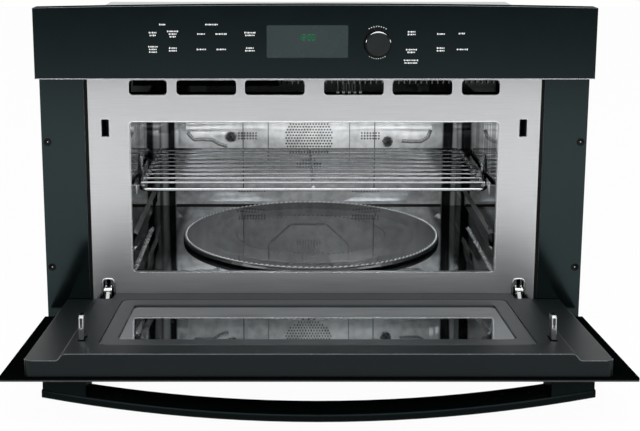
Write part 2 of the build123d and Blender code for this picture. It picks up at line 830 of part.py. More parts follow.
with BuildPart() as fan_housing:
    with BuildSketch(facing_front(drum_front)):
        with Locations((0, fan_z)):
            Circle(drum_radius + drum_sheet)
    extrude(amount=-drum_depth)
    with BuildSketch(facing_front(drum_front)):
        with Locations((0, fan_z)):
            Circle(drum_radius)
    extrude(amount=drum_sheet - drum_depth, mode=Mode.SUBTRACT)
    with BuildSketch(facing_front(drum_back)):
        with Locations((0, fan_z)):
            Circle(fan_shaft + 1.0)
        with Locations((-heater_lead_x, fan_z), (heater_lead_x, fan_z)):
            Circle(heater_lead + shaft_gap)
    extrude(amount=drum_sheet, mode=Mode.SUBTRACT)
fan_housing.part.label = "fan_housing"
export_step(fan_housing.part, "parts/fan_housing.step")

# Convection fan: a disc with twelve blades, on its shaft
fan_radius = 70.0
fan_disc = 1.5
fan_blades = 12
blade_width = 18.0
blade_length = 26.0
blade_sheet = 1.5
fan_hub = 10.0
fan_back_gap = 14.0
motor_stand_off = 6.0
fan_disc_y = drum_back - fan_back_gap
motor_front = drum_back + motor_stand_off
convection_motor_depth = 46.0
fan_shaft_end = motor_front + convection_motor_depth / 2

with BuildPart() as convection_fan:
    with BuildSketch(facing_front(fan_disc_y)):
        with Locations((0, fan_z)):
            Circle(fan_radius)
    extrude(amount=fan_disc)
    with BuildSketch(facing_front(fan_disc_y)):
        with Locations((0, fan_z)):
            with PolarLocations(fan_radius - blade_length / 2, fan_blades):
                Rectangle(blade_length, blade_sheet)
    extrude(amount=blade_width)
    with BuildSketch(facing_front(fan_disc_y)):
        with Locations((0, fan_z)):
            Circle(fan_hub)
    extrude(amount=blade_width)
    with BuildSketch(facing_front(fan_disc_y)):
        with Locations((0, fan_z)):
            Circle(fan_shaft)
    extrude(amount=fan_disc_y - fan_shaft_end)
convection_fan.part.label = "convection_fan"
export_step(convection_fan.part, "parts/convection_fan.step")

# Convection heater: a tube bent round the fan, with two leads through the drum's back
heater_setback = 22.0
heater_lead_reach = 16.0
heater_plane_y = drum_front + heater_setback
heater_lead_end = drum_back + heater_lead_reach

with BuildPart() as convection_heater:
    with BuildSketch(facing_side(0)):
        with Locations((heater_plane_y, fan_z + heater_lead_x)):
            Circle(heater_tube)
    revolve(axis=Axis((0, heater_plane_y, fan_z), (0, 1, 0)))
    with BuildSketch(facing_front(heater_plane_y)):
        with Locations((-heater_lead_x, fan_z), (heater_lead_x, fan_z)):
            Circle(heater_lead)
    extrude(amount=heater_plane_y - heater_lead_end)
convection_heater.part.label = "convection_heater"
export_step(convection_heater.part, "parts/convection_heater.step")

# Convection motor: a can on a bracket that spans the drum's back
convection_motor_radius = 34.0
bracket_half = 50.0
bracket_height = 22.0
bracket_sheet = 2.0

with BuildPart() as convection_motor:
    with BuildSketch(facing_front(motor_front)):
        with Locations((0, fan_z)):
            Circle(convection_motor_radius)
    extrude(amount=-convection_motor_depth)
    with BuildSketch(facing_front(motor_front)):
        with Locations((0, fan_z)):
            Rectangle(2 * bracket_half, bracket_height)
    extrude(amount=-bracket_sheet)
    with BuildSketch(facing_front(drum_back)):
        for side in (-1, 1):
            with Locations((side * (bracket_half - bracket_sheet), fan_z)):
                Rectangle(2 * bracket_sheet, bracket_height)
    extrude(amount=drum_back - motor_front)
    with BuildSketch(facing_front(motor_front)):
        with Locations((0, fan_z)):
            Circle(fan_shaft + shaft_gap)
    extrude(amount=motor_front - fan_shaft_end - seat_gap, mode=Mode.SUBTRACT)
convection_motor.part.label = "convection_motor"
export_step(convection_motor.part, "parts/convection_motor.step")

# Lamp reflector: a trough over the slotted ceiling
reflector_half = 158.0
reflector_depth = 130.0
reflector_height = 30.0
reflector_sheet = 1.0
ceiling_top = ceiling_bottom + wall_sheet
lamp_tube = 5.0
lamp_cap = 8.0
lamp_cap_length = 14.0

with BuildPart() as lamp_reflector:
    with BuildSketch(Plane.XY.offset(ceiling_top)):
        with Locations((0, lamp_y)):
            Rectangle(2 * reflector_half, reflector_depth)
    extrude(amount=reflector_height)
    with BuildSketch(Plane.XY.offset(ceiling_top)):
        with Locations((0, lamp_y)):
            Rectangle(2 * (reflector_half - reflector_sheet), reflector_depth - 2 * reflector_sheet)
    extrude(amount=reflector_height - reflector_sheet, mode=Mode.SUBTRACT)
lamp_reflector.part.label = "lamp_reflector"
export_step(lamp_reflector.part, "parts/lamp_reflector.step")

# Halogen lamps: two tubes whose end caps stand on the ceiling
lamp_half = reflector_half - reflector_sheet

with BuildPart() as halogen_lamps:
    for row_y in (lamp_y - lamp_pitch / 2, lamp_y + lamp_pitch / 2):
        with BuildSketch(facing_side(-lamp_half)):
            with Locations((row_y, ceiling_top + lamp_cap)):
                Circle(lamp_tube)
        extrude(amount=2 * lamp_half)
        for start in (-lamp_half, lamp_half - lamp_cap_length):
            with BuildSketch(facing_side(start)):
                with Locations((row_y, ceiling_top + lamp_cap)):
                    Rectangle(2 * lamp_cap, 2 * lamp_cap)
            extrude(amount=lamp_cap_length)
halogen_lamps.part.label = "halogen_lamps"
export_step(halogen_lamps.part, "parts/halogen_lamps.step")

# Waveguide: a flat duct from the magnetron to the port in the ceiling
guide_x_size = 44.0
guide_duct_height = 34.0
guide_duct_front = 208.0
guide_duct_back = 372.0
guide_wall = 1.2
antenna_radius = 8.0
antenna_reach = 23.8
magnetron_y = 330.0

with BuildPart() as waveguide:
    with BuildSketch(Plane.XY.offset(ceiling_top)):
        with Locations((port_x, (guide_duct_front + guide_duct_back) / 2)):
            Rectangle(guide_x_size, guide_duct_back - guide_duct_front)
    extrude(amount=guide_duct_height)
    with BuildSketch(Plane.XY.offset(ceiling_top)):
        with Locations((port_x, (guide_duct_front + guide_duct_back) / 2)):
            Rectangle(guide_x_size - 2 * guide_wall, guide_duct_back - guide_duct_front - 2 * guide_wall)
    extrude(amount=guide_duct_height - guide_wall, mode=Mode.SUBTRACT)
    with BuildSketch(Plane.XY.offset(ceiling_top + guide_duct_height)):
        with Locations((port_x, magnetron_y)):
            Circle(antenna_radius + seat_gap)
    extrude(amount=-guide_wall, mode=Mode.SUBTRACT)
waveguide.part.label = "waveguide"
export_step(waveguide.part, "parts/waveguide.step")

# Magnetron: a finned block on the waveguide, with its antenna inside the duct
magnetron_width = 74.0
magnetron_depth = 80.0
magnetron_plate = 3.0
fin_gap = 4.5
cooling_fins = 9
cooling_fin_sheet = 1.2
anode_radius = 22.0
magnetron_bottom = ceiling_top + guide_duct_height
fin_stack = cooling_fins * fin_gap

with BuildPart() as magnetron:
    for plate_z in (magnetron_bottom, magnetron_bottom + magnetron_plate + fin_stack):
        with BuildSketch(Plane.XY.offset(plate_z)):
            with Locations((port_x, magnetron_y)):
                Rectangle(magnetron_width, magnetron_depth)
        extrude(amount=magnetron_plate)
    with BuildSketch(Plane.XY.offset(magnetron_bottom)):
        with Locations((port_x, magnetron_y)):
            Circle(anode_radius)
    extrude(amount=fin_stack + magnetron_plate)
    for fin in range(1, cooling_fins):
        with BuildSketch(Plane.XY.offset(magnetron_bottom + magnetron_plate + fin * fin_gap)):
            with Locations((port_x, magnetron_y)):
                Rectangle(magnetron_width - 4, magnetron_depth - 4)
        extrude(amount=-cooling_fin_sheet)
    with BuildSketch(Plane.XY.offset(magnetron_bottom)):
        with Locations((port_x, magnetron_y)):
            Circle(antenna_radius)
    extrude(amount=-antenna_reach)
magnetron.part.label = "magnetron"
export_step(magnetron.part, "parts/magnetron.step")

# Power transformer: a laminated core with its winding, on the base pan
core_width = 78.0
core_depth = 96.0
core_height = 66.0
winding_width = 60.0
winding_bulge = 14.0
transformer_inset = 51.0
transformer_x = case_width / 2 - transformer_inset
transformer_y = 250.0

with BuildPart() as power_transformer:
    with BuildSketch(Plane.XY.offset(base_sheet)):
        with Locations((transformer_x, transformer_y)):
            Rectangle(core_width, core_depth)
    extrude(amount=core_height)
    with BuildSketch(Plane.XY.offset(base_sheet + core_height / 5)):
        with Locations((transformer_x, transformer_y)):
            RectangleRounded(winding_width, core_depth + 2 * winding_bulge, winding_bulge)
    extrude(amount=core_height * 3 / 5)
power_transformer.part.label = "power_transformer"
export_step(power_transformer.part, "parts/power_transformer.step")

# Cooling blower housing: a scroll drum on the ceiling sheet, open at its intake and its mouth
blower_x = -230.0
blower_y = 330.0
blower_width = 60.0
scroll_radius = 50.0
scroll_sheet = 1.5
intake_radius = 30.0
mouth_height = 34.0
mouth_length = 40.0
blower_foot = 3.0
blower_z = ceiling_top + blower_foot + scroll_radius
blower_left = blower_x - blower_width / 2
blower_right = blower_x + blower_width / 2
blower_shaft = 3.0

with BuildPart() as blower_housing:
    mouth_front = blower_y - scroll_radius - mouth_length
    mouth_top = blower_z + scroll_radius
    with BuildSketch(facing_side(blower_left)):
        with Locations((blower_y, blower_z)):
            Circle(scroll_radius)
        with Locations(((mouth_front + blower_y) / 2, mouth_top - mouth_height / 2)):
            Rectangle(blower_y - mouth_front, mouth_height)
    extrude(amount=blower_width)
    with BuildSketch(facing_side(blower_left + scroll_sheet)):
        with Locations((blower_y, blower_z)):
            Circle(scroll_radius - scroll_sheet)
        with Locations(((mouth_front + blower_y) / 2, mouth_top - mouth_height / 2)):
            Rectangle(blower_y - mouth_front, mouth_height - 2 * scroll_sheet)
    extrude(amount=blower_width - 2 * scroll_sheet, mode=Mode.SUBTRACT)
    with BuildSketch(facing_side(blower_left)):
        with Locations((blower_y, blower_z)):
            Circle(intake_radius)
    extrude(amount=scroll_sheet, mode=Mode.SUBTRACT)
    with BuildSketch(facing_side(blower_right)):
        with Locations((blower_y, blower_z)):
            Circle(blower_shaft + 1.0)
    extrude(amount=-scroll_sheet, mode=Mode.SUBTRACT)
    with BuildSketch(Plane.XY.offset(ceiling_top)):
        with Locations((blower_x, blower_y)):
            Rectangle(blower_width, scroll_radius)
    extrude(amount=blower_foot + scroll_sheet)
blower_housing.part.label = "blower_housing"
export_step(blower_housing.part, "parts/blower_housing.step")

# Cooling blower wheel: a drum of straight blades, on its shaft
wheel_radius = 42.0
wheel_width = 44.0
wheel_disc = 1.5
wheel_blades = 24
wheel_blade_length = 9.0
wheel_blade_sheet = 1.2
wheel_hub = 8.0
wheel_clearance = 5.0
blower_motor_length = 44.0
wheel_right = blower_right - scroll_sheet - wheel_clearance
blower_shaft_end = blower_right + blower_motor_length / 2

with BuildPart() as blower_wheel:
    with BuildSketch(facing_side(wheel_right)):
        with Locations((blower_y, blower_z)):
            Circle(wheel_radius)
    extrude(amount=-wheel_disc)
    with BuildSketch(facing_side(wheel_right)):
        with Locations((blower_y, blower_z)):
            with PolarLocations(wheel_radius - wheel_blade_length / 2, wheel_blades):
                Rectangle(wheel_blade_length, wheel_blade_sheet)
    extrude(amount=-wheel_width)
    with BuildSketch(facing_side(wheel_right - wheel_width)):
        with Locations((blower_y, blower_z)):
            Circle(wheel_radius)
            Circle(wheel_radius - wheel_blade_length / 2, mode=Mode.SUBTRACT)
    extrude(amount=wheel_disc)
    with BuildSketch(facing_side(wheel_right)):
        with Locations((blower_y, blower_z)):
            Circle(wheel_hub)
    extrude(amount=-wheel_width / 3)
    with BuildSketch(facing_side(wheel_right)):
        with Locations((blower_y, blower_z)):
            Circle(blower_shaft)
    extrude(amount=blower_shaft_end - wheel_right)
blower_wheel.part.label = "blower_wheel"
export_step(blower_wheel.part, "parts/blower_wheel.step")

# Cooling blower motor: a can on the side of the scroll
blower_motor_radius = 26.0

with BuildPart() as blower_motor:
    with BuildSketch(facing_side(blower_right)):
        with Locations((blower_y, blower_z)):
            Circle(blower_motor_radius)
    extrude(amount=blower_motor_length)
    with BuildSketch(facing_side(blower_right)):
        with Locations((blower_y, blower_z)):
            Circle(blower_shaft + shaft_gap)
    extrude(amount=blower_shaft_end - blower_right + seat_gap, mode=Mode.SUBTRACT)
blower_motor.part.label = "blower_motor"
export_step(blower_motor.part, "parts/blower_motor.step")

# Latch switches: two boxed switches behind the latch slots, each with a pocket for the hook
switch_wall = 3.0
switch_depth = 46.0
pocket_depth = 38.0
pocket_margin = 3.0
pocket_width = latch_slot_width
pocket_height = latch_slot_height + 2 * pocket_margin
switch_button = 6.0

with BuildPart() as latch_switches:
    for side in (-1, 1):
        with BuildSketch(facing_front(0)):
            with Locations((side * latch_x, latch_slot_z)):
                Rectangle(pocket_width + 2 * switch_wall, pocket_height + 2 * switch_wall)
        extrude(amount=-switch_depth)
        with BuildSketch(facing_front(0)):
            with Locations((side * latch_x, latch_slot_z)):
                Rectangle(pocket_width, pocket_height)
        extrude(amount=-pocket_depth, mode=Mode.SUBTRACT)
        with BuildSketch(facing_front(switch_depth)):
            with Locations((side * latch_x, latch_slot_z)):
                Rectangle(switch_button, pocket_height)
        extrude(amount=-switch_button)
latch_switches.part.label = "latch_switches"
export_step(latch_switches.part, "parts/latch_switches.step")

# Hinge brackets: a pair of cheeks through each arch, with a tab behind the face frame
pin_radius = 4.0
cheek_radius = 8.0
cheek_sheet = 2.0
hinge_arm_width = 5.0
bracket_depth = 60.0
bracket_drop = 8.1
bracket_rise = 15.9
bracket_low = pin_height - bracket_drop
bracket_high = pin_height + bracket_rise
tab_width = 17.0
arm_side_gap = 0.3
cheek_inner = hinge_arm_width / 2 + arm_side_gap
cheek_outer = cheek_inner + cheek_sheet
tab_x = hinge_x - cheek_outer - tab_width / 2

with BuildPart() as hinge_brackets:
    for side in (-1, 1):
        centre = side * hinge_x
        for start in (centre - cheek_outer, centre + cheek_inner):
            with BuildSketch(facing_side(start)):
                with Locations((pin_y, pin_height)):
                    Circle(cheek_radius)
                with Locations(((pin_y + bracket_depth) / 2, (bracket_low + bracket_high) / 2)):
                    Rectangle(bracket_depth - pin_y, bracket_high - bracket_low)
                with Locations((pin_y, pin_height)):
                    Circle(pin_radius, mode=Mode.SUBTRACT)
            extrude(amount=cheek_sheet)
        with BuildSketch(facing_front(bracket_depth)):
            with Locations((centre, (bracket_low + bracket_high) / 2)):
                Rectangle(2 * cheek_outer, bracket_high - bracket_low)
        extrude(amount=cheek_sheet)
        with BuildSketch(facing_front(0)):
            with Locations((side * tab_x, (bracket_low + bracket_high) / 2)):
                Rectangle(tab_width, bracket_high - bracket_low)
        extrude(amount=-cheek_sheet)
hinge_brackets.part.label = "hinge_brackets"
export_step(hinge_brackets.part, "parts/hinge_brackets.step")

# Hinge pins: held in the cheeks, with a head on the outer end
pin_head_radius = 5.5
pin_head = 1.5

with BuildPart() as hinge_pins:
    for side in (-1, 1):
        centre = side * hinge_x
        with BuildSketch(facing_side(centre - cheek_outer)):
            with Locations((pin_y, pin_height)):
                Circle(pin_radius)
        extrude(amount=2 * cheek_outer)
        with BuildSketch(facing_side(centre + side * cheek_outer)):
            with Locations((pin_y, pin_height)):
                Circle(pin_head_radius)
        extrude(amount=side * pin_head)
hinge_pins.part.label = "hinge_pins"
export_step(hinge_pins.part, "parts/hinge_pins.step")

# Hinge arms: flat arms with an eye round the pin, footed on the inside of the door's skin
eye_radius = 7.0
arm_length = 150.0
arm_inner_out = 10.0
arm_outer_out = 24.0
foot_width = 14.0
foot_length = 24.0
foot_sheet = 2.0
foot_places = (50.0, 126.0)

with BuildPart() as hinge_arms:
    for side in (-1, 1):
        centre = side * hinge_x
        with BuildSketch(beside_door(centre - hinge_arm_width / 2)):
            Circle(eye_radius)
            Polygon(
                (0, eye_radius),
                (eye_radius, 0),
                (arm_inner_out + eye_radius, arm_inner_out),
                (arm_length, arm_inner_out),
                (arm_length, arm_outer_out),
                (eye_radius, arm_outer_out),
                align=None,
            )
            for foot in foot_places:
                with Locations((foot, (arm_outer_out + skin_inner) / 2)):
                    Rectangle(foot_length, skin_inner - arm_outer_out)
            Circle(pin_radius + shaft_gap, mode=Mode.SUBTRACT)
        extrude(amount=hinge_arm_width)
        with BuildSketch(door_plane.offset(skin_inner)):
            for foot in foot_places:
                with Locations((side * (hinge_x + foot_width / 2), foot)):
                    Rectangle(foot_width, foot_length)
        extrude(amount=-foot_sheet)
hinge_arms.part.label = "hinge_arms"
export_step(hinge_arms.part, "parts/hinge_arms.step")

# Door skin: the outer sheet, with an opening for the outer pane
window_side_lap = 9.5
window_low_lap = 12.5
window_high_lap = 19.0
window_half = opening_width / 2 + window_side_lap
window_bottom = opening_bottom - pin_height + window_low_lap
window_top = opening_top - pin_height + window_high_lap
view_side_inset = 30.0
view_low_inset = 34.0
view_high_inset = 33.0
view_half = window_half - view_side_inset
view_bottom = window_bottom + view_low_inset
view_top = window_top - view_high_inset
view_corner = 8.0

with BuildPart() as door_skin:
    with BuildSketch(door_plane.offset(skin_outer)):
        with Locations((0, (door_top + skin_bottom) / 2)):
            Rectangle(front_width, door_top - skin_bottom)
        with Locations((0, (view_top + view_bottom) / 2)):
            RectangleRounded(2 * view_half, view_top - view_bottom, view_corner, mode=Mode.SUBTRACT)
    extrude(amount=-skin_sheet)
door_skin.part.label = "door_skin"
export_step(door_skin.part, "parts/door_skin.step")

# Door liner: the inner shell, with a raised plateau that meets the face frame
liner_corner = 8.0
window_corner = 10.0
groove = 1.5
notch_width = 19.0
notch_top = 33.0
notch_out = 27.0
hook_width = 5.5
hook_height = 19.0
hook_slot_drop = 0.35
hook_hole_margin = 4.0
liner_top = door_top - liner_inset
liner_half = front_width / 2 - liner_side_inset
plateau_half = face_half - plateau_inset
hook_pin_radius = 2.0
hook_pin_along = latch_slot_z - pin_height - hook_slot_drop
hook_bottom = hook_pin_along - hook_height / 2
hook_top = hook_pin_along + hook_height / 2
hook_pin_out = 16.0
ear_sheet = 2.5
ear_radius = 7.0
ear_gap = 1.75


def liner_outline(inset):
    """Section across the door: a wide low band with a raised middle, drawn inwards by inset."""
    outer = liner_half - inset
    step = plateau_half - inset
    band = -band_out - inset
    raised = -plateau_out - inset
    right_side = [(outer, -skin_inner), (outer, band), (step + plateau_slope, band), (step, raised)]
    left_side = [(-x, out) for x, out in reversed(right_side)]
    Polygon(*right_side, *left_side, align=None)


with BuildPart() as door_liner:
    with BuildSketch(across_door(liner_bottom)):
        liner_outline(0)
    extrude(amount=liner_top - liner_bottom)
    across_edges = door_liner.edges().filter_by(Axis(door_plane.origin, door_plane.z_dir))
    top_edges = across_edges.group_by(Axis(door_plane.origin, door_plane.y_dir))[-1].sort_by(Axis.X)
    fillet([top_edges[0], top_edges[-1]], liner_corner)
    with BuildSketch(across_door(liner_bottom + liner_sheet)):
        liner_outline(liner_sheet)
    extrude(amount=liner_top - liner_bottom - 2 * liner_sheet, mode=Mode.SUBTRACT)
    with BuildSketch(door_plane.offset(plateau_out)):
        with Locations((0, (window_top + window_bottom) / 2)):
            RectangleRounded(
                2 * (window_half + groove), window_top - window_bottom + 2 * groove, window_corner + groove
            )
        for side in (-1, 1):
            with Locations((side * latch_x, hook_pin_along)):
                Rectangle(hook_width + 2 * ear_gap, hook_top - hook_bottom + 2 * hook_hole_margin)
    extrude(amount=liner_sheet, mode=Mode.SUBTRACT)
    with BuildSketch(door_plane.offset(plateau_out)):
        for side in (-1, 1):
            with Locations((side * hinge_x, (liner_bottom + notch_top) / 2)):
                Rectangle(notch_width, notch_top - liner_bottom)
    extrude(amount=notch_out - plateau_out, mode=Mode.SUBTRACT)
    for side in (-1, 1):
        ear_inner = hook_width / 2 + ear_gap
        for start in (side * latch_x - ear_inner - ear_sheet, side * latch_x + ear_inner):
            with BuildSketch(beside_door(start)):
                with Locations((hook_pin_along, (plateau_out + hook_pin_out) / 2)):
                    Rectangle(2 * ear_radius, hook_pin_out - plateau_out)
                with Locations((hook_pin_along, hook_pin_out)):
                    Circle(ear_radius)
                    Circle(hook_pin_radius + shaft_gap, mode=Mode.SUBTRACT)
            extrude(amount=ear_sheet)
door_liner.part.label = "door_liner"
export_step(door_liner.part, "parts/door_liner.step")

# Latch hooks: a flat hook with an open eye near its tip, on its own pins
hook_tail_out = 26.0
hook_tip = 28.0
hook_nose = 3.0
hook_web = 1.1
hook_eye_low = 12.0
hook_eye_high = 25.0

for side_name, side in (("left", -1), ("right", 1)):
    with BuildPart() as latch_hook:
        with BuildSketch(beside_door(side * latch_x - hook_width / 2)):
            with Locations((hook_pin_along, hook_pin_out)):
                Rectangle(2 * ear_radius, 2 * (hook_tail_out - hook_pin_out))
            Polygon(
                (hook_bottom + hook_nose, hook_pin_out),
                (hook_bottom + hook_nose, -hook_tip / 2),
                (hook_bottom, -hook_tip / 2 - hook_nose),
                (hook_bottom + hook_nose, -hook_tip),
                (hook_top - hook_nose, -hook_tip),
                (hook_top, -hook_tip + hook_nose),
                (hook_top, hook_pin_out),
                align=None,
            )
        extrude(amount=hook_width)
        with BuildSketch(beside_door(side * latch_x - hook_width / 2 + hook_web)):
            with Locations((hook_pin_along, -(hook_eye_low + hook_eye_high) / 2)):
                Rectangle(hook_top - hook_bottom + 2 * hook_nose, hook_eye_high - hook_eye_low)
        extrude(amount=hook_width - 2 * hook_web, mode=Mode.SUBTRACT)
        pin_reach = hook_width / 2 + ear_gap + ear_sheet
        with BuildSketch(beside_door(side * latch_x - pin_reach)):
            with Locations((hook_pin_along, hook_pin_out)):
                Circle(hook_pin_radius)
        extrude(amount=2 * pin_reach)
    latch_hook.part.label = f"latch_hook_{side_name}"
    export_step(latch_hook.part, f"parts/latch_hook_{side_name}.step")

# Choke frame: a metal channel round the window, between the liner and the outer pane
choke_margin = 10.0
choke_sheet = 1.2
pane_margin = 13.0
pane_glass = 4.0
pane_gap = 0.3
outer_pane_glass = 4.0
pane_half = window_half - pane_margin
pane_bottom = window_bottom + pane_margin
pane_top = window_top - pane_margin
choke_inner_out = plateau_out + liner_sheet
choke_outer_out = skin_inner - outer_pane_glass
choke_half = window_half + choke_margin
choke_bottom = window_bottom - choke_margin
choke_top = window_top + choke_margin


def door_rectangle(half, bottom, top, **options):
    """Rectangle on the door, centred across it, from its half width and its two ends."""
    with Locations((0, (top + bottom) / 2)):
        Rectangle(2 * half, top - bottom, **options)


with BuildPart() as choke_frame:
    with BuildSketch(door_plane.offset(choke_inner_out)):
        door_rectangle(choke_half, choke_bottom, choke_top)
        door_rectangle(pane_half + pane_gap, pane_bottom - pane_gap, pane_top + pane_gap, mode=Mode.SUBTRACT)
    extrude(amount=choke_sheet)
    with BuildSketch(door_plane.offset(choke_inner_out)):
        door_rectangle(choke_half, choke_bottom, choke_top)
        door_rectangle(
            choke_half - choke_sheet,
            choke_bottom + choke_sheet,
            choke_top - choke_sheet,
            mode=Mode.SUBTRACT,
        )
    extrude(amount=choke_outer_out - choke_inner_out)
    with BuildSketch(door_plane.offset(choke_inner_out)):
        inner_edge = pane_gap + choke_sheet
        door_rectangle(pane_half + inner_edge, pane_bottom - inner_edge, pane_top + inner_edge)
        door_rectangle(pane_half + pane_gap, pane_bottom - pane_gap, pane_top + pane_gap, mode=Mode.SUBTRACT)
    extrude(amount=choke_outer_out - choke_inner_out)
choke_frame.part.label = "choke_frame"
export_step(choke_frame.part, "parts/choke_frame.step")

# Window frame: the cover strip inside the groove, level with the plateau
sight_side = 19.0
sight_low = 26.0
sight_high = 24.0
sight_corner = 8.0
sight_half = window_half - sight_side
sight_bottom = window_bottom + sight_low
sight_top = window_top - sight_high

with BuildPart() as window_frame:
    with BuildSketch(door_plane.offset(plateau_out)):
        with Locations((0, (window_top + window_bottom) / 2)):
            RectangleRounded(2 * window_half, window_top - window_bottom, window_corner)
        with Locations((0, (sight_top + sight_bottom) / 2)):
            RectangleRounded(2 * sight_half, sight_top - sight_bottom, sight_corner, mode=Mode.SUBTRACT)
    extrude(amount=liner_sheet)
window_frame.part.label = "window_frame"
export_step(window_frame.part, "parts/window_frame.step")

# Window pane: the inner glass, behind the cover strip
with BuildPart() as window_pane:
    with BuildSketch(door_plane.offset(choke_inner_out)):
        door_rectangle(pane_half, pane_bottom, pane_top)
    extrude(amount=pane_glass)
window_pane.part.label = "window_pane"
export_step(window_pane.part, "parts/window_pane.step")

# Window screen: the microwave screen behind the pane
screen_sheet = 0.6

with BuildPart() as window_screen:
    with BuildSketch(door_plane.offset(choke_inner_out + pane_glass)):
        door_rectangle(pane_half, pane_bottom, pane_top)
    extrude(amount=screen_sheet)
window_screen.part.label = "window_screen"
export_step(window_screen.part, "parts/window_screen.step")

# Outer pane: the dark glass behind the opening in the skin
with BuildPart() as door_outer_pane:
    with BuildSketch(door_plane.offset(choke_outer_out)):
        door_rectangle(choke_half, choke_bottom, choke_top)
    extrude(amount=outer_pane_glass)
door_outer_pane.part.label = "door_outer_pane"
export_step(door_outer_pane.part, "parts/door_outer_pane.step")

# Handle bar: a broad flat strap, bowed away from the door
handle_side_inset = 50.0
handle_thickness = 9.2
handle_stand_off = 44.0
handle_bow = 30.5
handle_top_inset = 5.2
handle_height = 54.0
handle_half = front_width / 2 - handle_side_inset
handle_top = door_top - handle_top_inset
handle_bottom = handle_top - handle_height
bar_inner = skin_outer + handle_stand_off
bar_outer = bar_inner + handle_thickness
bow_radius = (handle_half**2 + handle_bow**2) / (2 * handle_bow)
handle_edge = 1.6


def bow_drop(x):
    """How much nearer the door the bar is at x than at its middle."""
    return bow_radius - sqrt(bow_radius**2 - x**2)


with BuildPart() as handle_bar:
    with BuildSketch(across_door(handle_bottom)):
        with Locations((0, bow_radius - bar_inner)):
            Circle(bow_radius + handle_thickness)
            Circle(bow_radius, mode=Mode.SUBTRACT)
        with Locations((0, (handle_bow - bar_inner - bar_outer) / 2)):
            Rectangle(2 * handle_half, handle_bow + 2 * handle_thickness, mode=Mode.INTERSECT)
    extrude(amount=handle_height)
    chamfer(handle_bar.edges().filter_by(GeomType.CIRCLE), handle_edge)
handle_bar.part.label = "handle_bar"
export_step(handle_bar.part, "parts/handle_bar.step")

# Handle posts: two blocks between the skin and the bar
post_side_inset = 1.0
post_width = 51.0
post_rise = 6.0
post_outer = handle_half - post_side_inset
post_inner = post_outer - post_width
post_bottom = handle_bottom + post_rise
post_top = handle_top - handle_edge

with BuildPart() as handle_posts:
    for side in (-1, 1):
        with BuildSketch(across_door(post_bottom)):
            with BuildLine():
                middle = (post_inner + post_outer) / 2
                Polyline(
                    (side * post_inner, bow_drop(post_inner) - bar_inner),
                    (side * post_inner, -skin_outer),
                    (side * post_outer, -skin_outer),
                    (side * post_outer, bow_drop(post_outer) - bar_inner),
                )
                ThreePointArc(
                    (side * post_inner, bow_drop(post_inner) - bar_inner),
                    (side * middle, bow_drop(middle) - bar_inner),
                    (side * post_outer, bow_drop(post_outer) - bar_inner),
                )
            make_face()
        extrude(amount=post_top - post_bottom)
handle_posts.part.label = "handle_posts"
export_step(handle_posts.part, "parts/handle_posts.step")

# Control panel face: a thin black sheet with a crowned top edge
panel_front = -face_sheet - panel_depth
crown_radius = ((front_width / 2) ** 2 + panel_crown**2) / (2 * panel_crown)
display_x = -10.2
display_rise = 51.0
display_z = panel_bottom + display_rise
display_width = 109.2
display_height = 43.3
display_corner = 2.0
dial_x = 83.8
dial_rise = 48.7
dial_z = panel_bottom + dial_rise
stem_radius = 3.0
stem_hole = stem_radius + screw_hole_gap


def panel_outline(inset):
    """Crowned outline of the control panel, drawn inwards by inset."""
    with Locations((0, (front_height + panel_bottom) / 2)):
        Rectangle(front_width - 2 * inset, front_height - panel_bottom - 2 * inset)
    with Locations((0, front_height - inset - crown_radius)):
        Circle(crown_radius, mode=Mode.INTERSECT)


with BuildPart() as control_face:
    with BuildSketch(facing_front(panel_front)):
        panel_outline(0)
        with Locations((display_x, display_z)):
            RectangleRounded(display_width, display_height, display_corner, mode=Mode.SUBTRACT)
        with Locations((dial_x, dial_z)):
            Circle(stem_hole, mode=Mode.SUBTRACT)
    extrude(amount=-panel_face_sheet)
control_face.part.label = "control_face"
export_step(control_face.part, "parts/control_face.step")

# Display pane: the window in front of the figures
with BuildPart() as display_pane:
    with BuildSketch(facing_front(panel_front)):
        with Locations((display_x, display_z)):
            RectangleRounded(display_width, display_height, display_corner)
    extrude(amount=-panel_face_sheet)
display_pane.part.label = "display_pane"
export_step(display_pane.part, "parts/display_pane.step")

# Control housing: the shell behind the face, with posts for the board
housing_front = panel_front + panel_face_sheet
housing_floor = 1.5
board_width = 420.0
board_height = 60.0
board_sheet = 1.6
board_x = 20.0
board_rise = 43.7
board_z = panel_bottom + board_rise
board_setback = 10.0
post_radius = 4.0
post_inset_x = 10.0
post_inset_z = 8.0
board_y = housing_front + housing_floor + board_setback
board_posts = [
    (board_x + x * (board_width / 2 - post_inset_x), board_z + z * (board_height / 2 - post_inset_z))
    for x in (-1, 1)
    for z in (-1, 1)
]

with BuildPart() as control_housing:
    with BuildSketch(facing_front(housing_front)):
        panel_outline(0)
    extrude(amount=housing_front)
    with BuildSketch(facing_front(housing_front + housing_floor)):
        panel_outline(housing_wall)
    extrude(amount=housing_front + housing_floor, mode=Mode.SUBTRACT)
    with BuildSketch(facing_front(housing_front)):
        with Locations((display_x, display_z)):
            Rectangle(display_width - 2 * housing_wall, display_height - 2 * housing_wall)
        with Locations((dial_x, dial_z)):
            Circle(stem_hole)
    extrude(amount=-housing_floor, mode=Mode.SUBTRACT)
    with BuildSketch(facing_front(board_y)):
        with Locations(*board_posts):
            Circle(post_radius)
    extrude(amount=board_setback)
control_housing.part.label = "control_housing"
export_step(control_housing.part, "parts/control_housing.step")

# Control board: on the housing's posts, with the display block in front of it
display_block = board_setback + housing_floor - 1.0

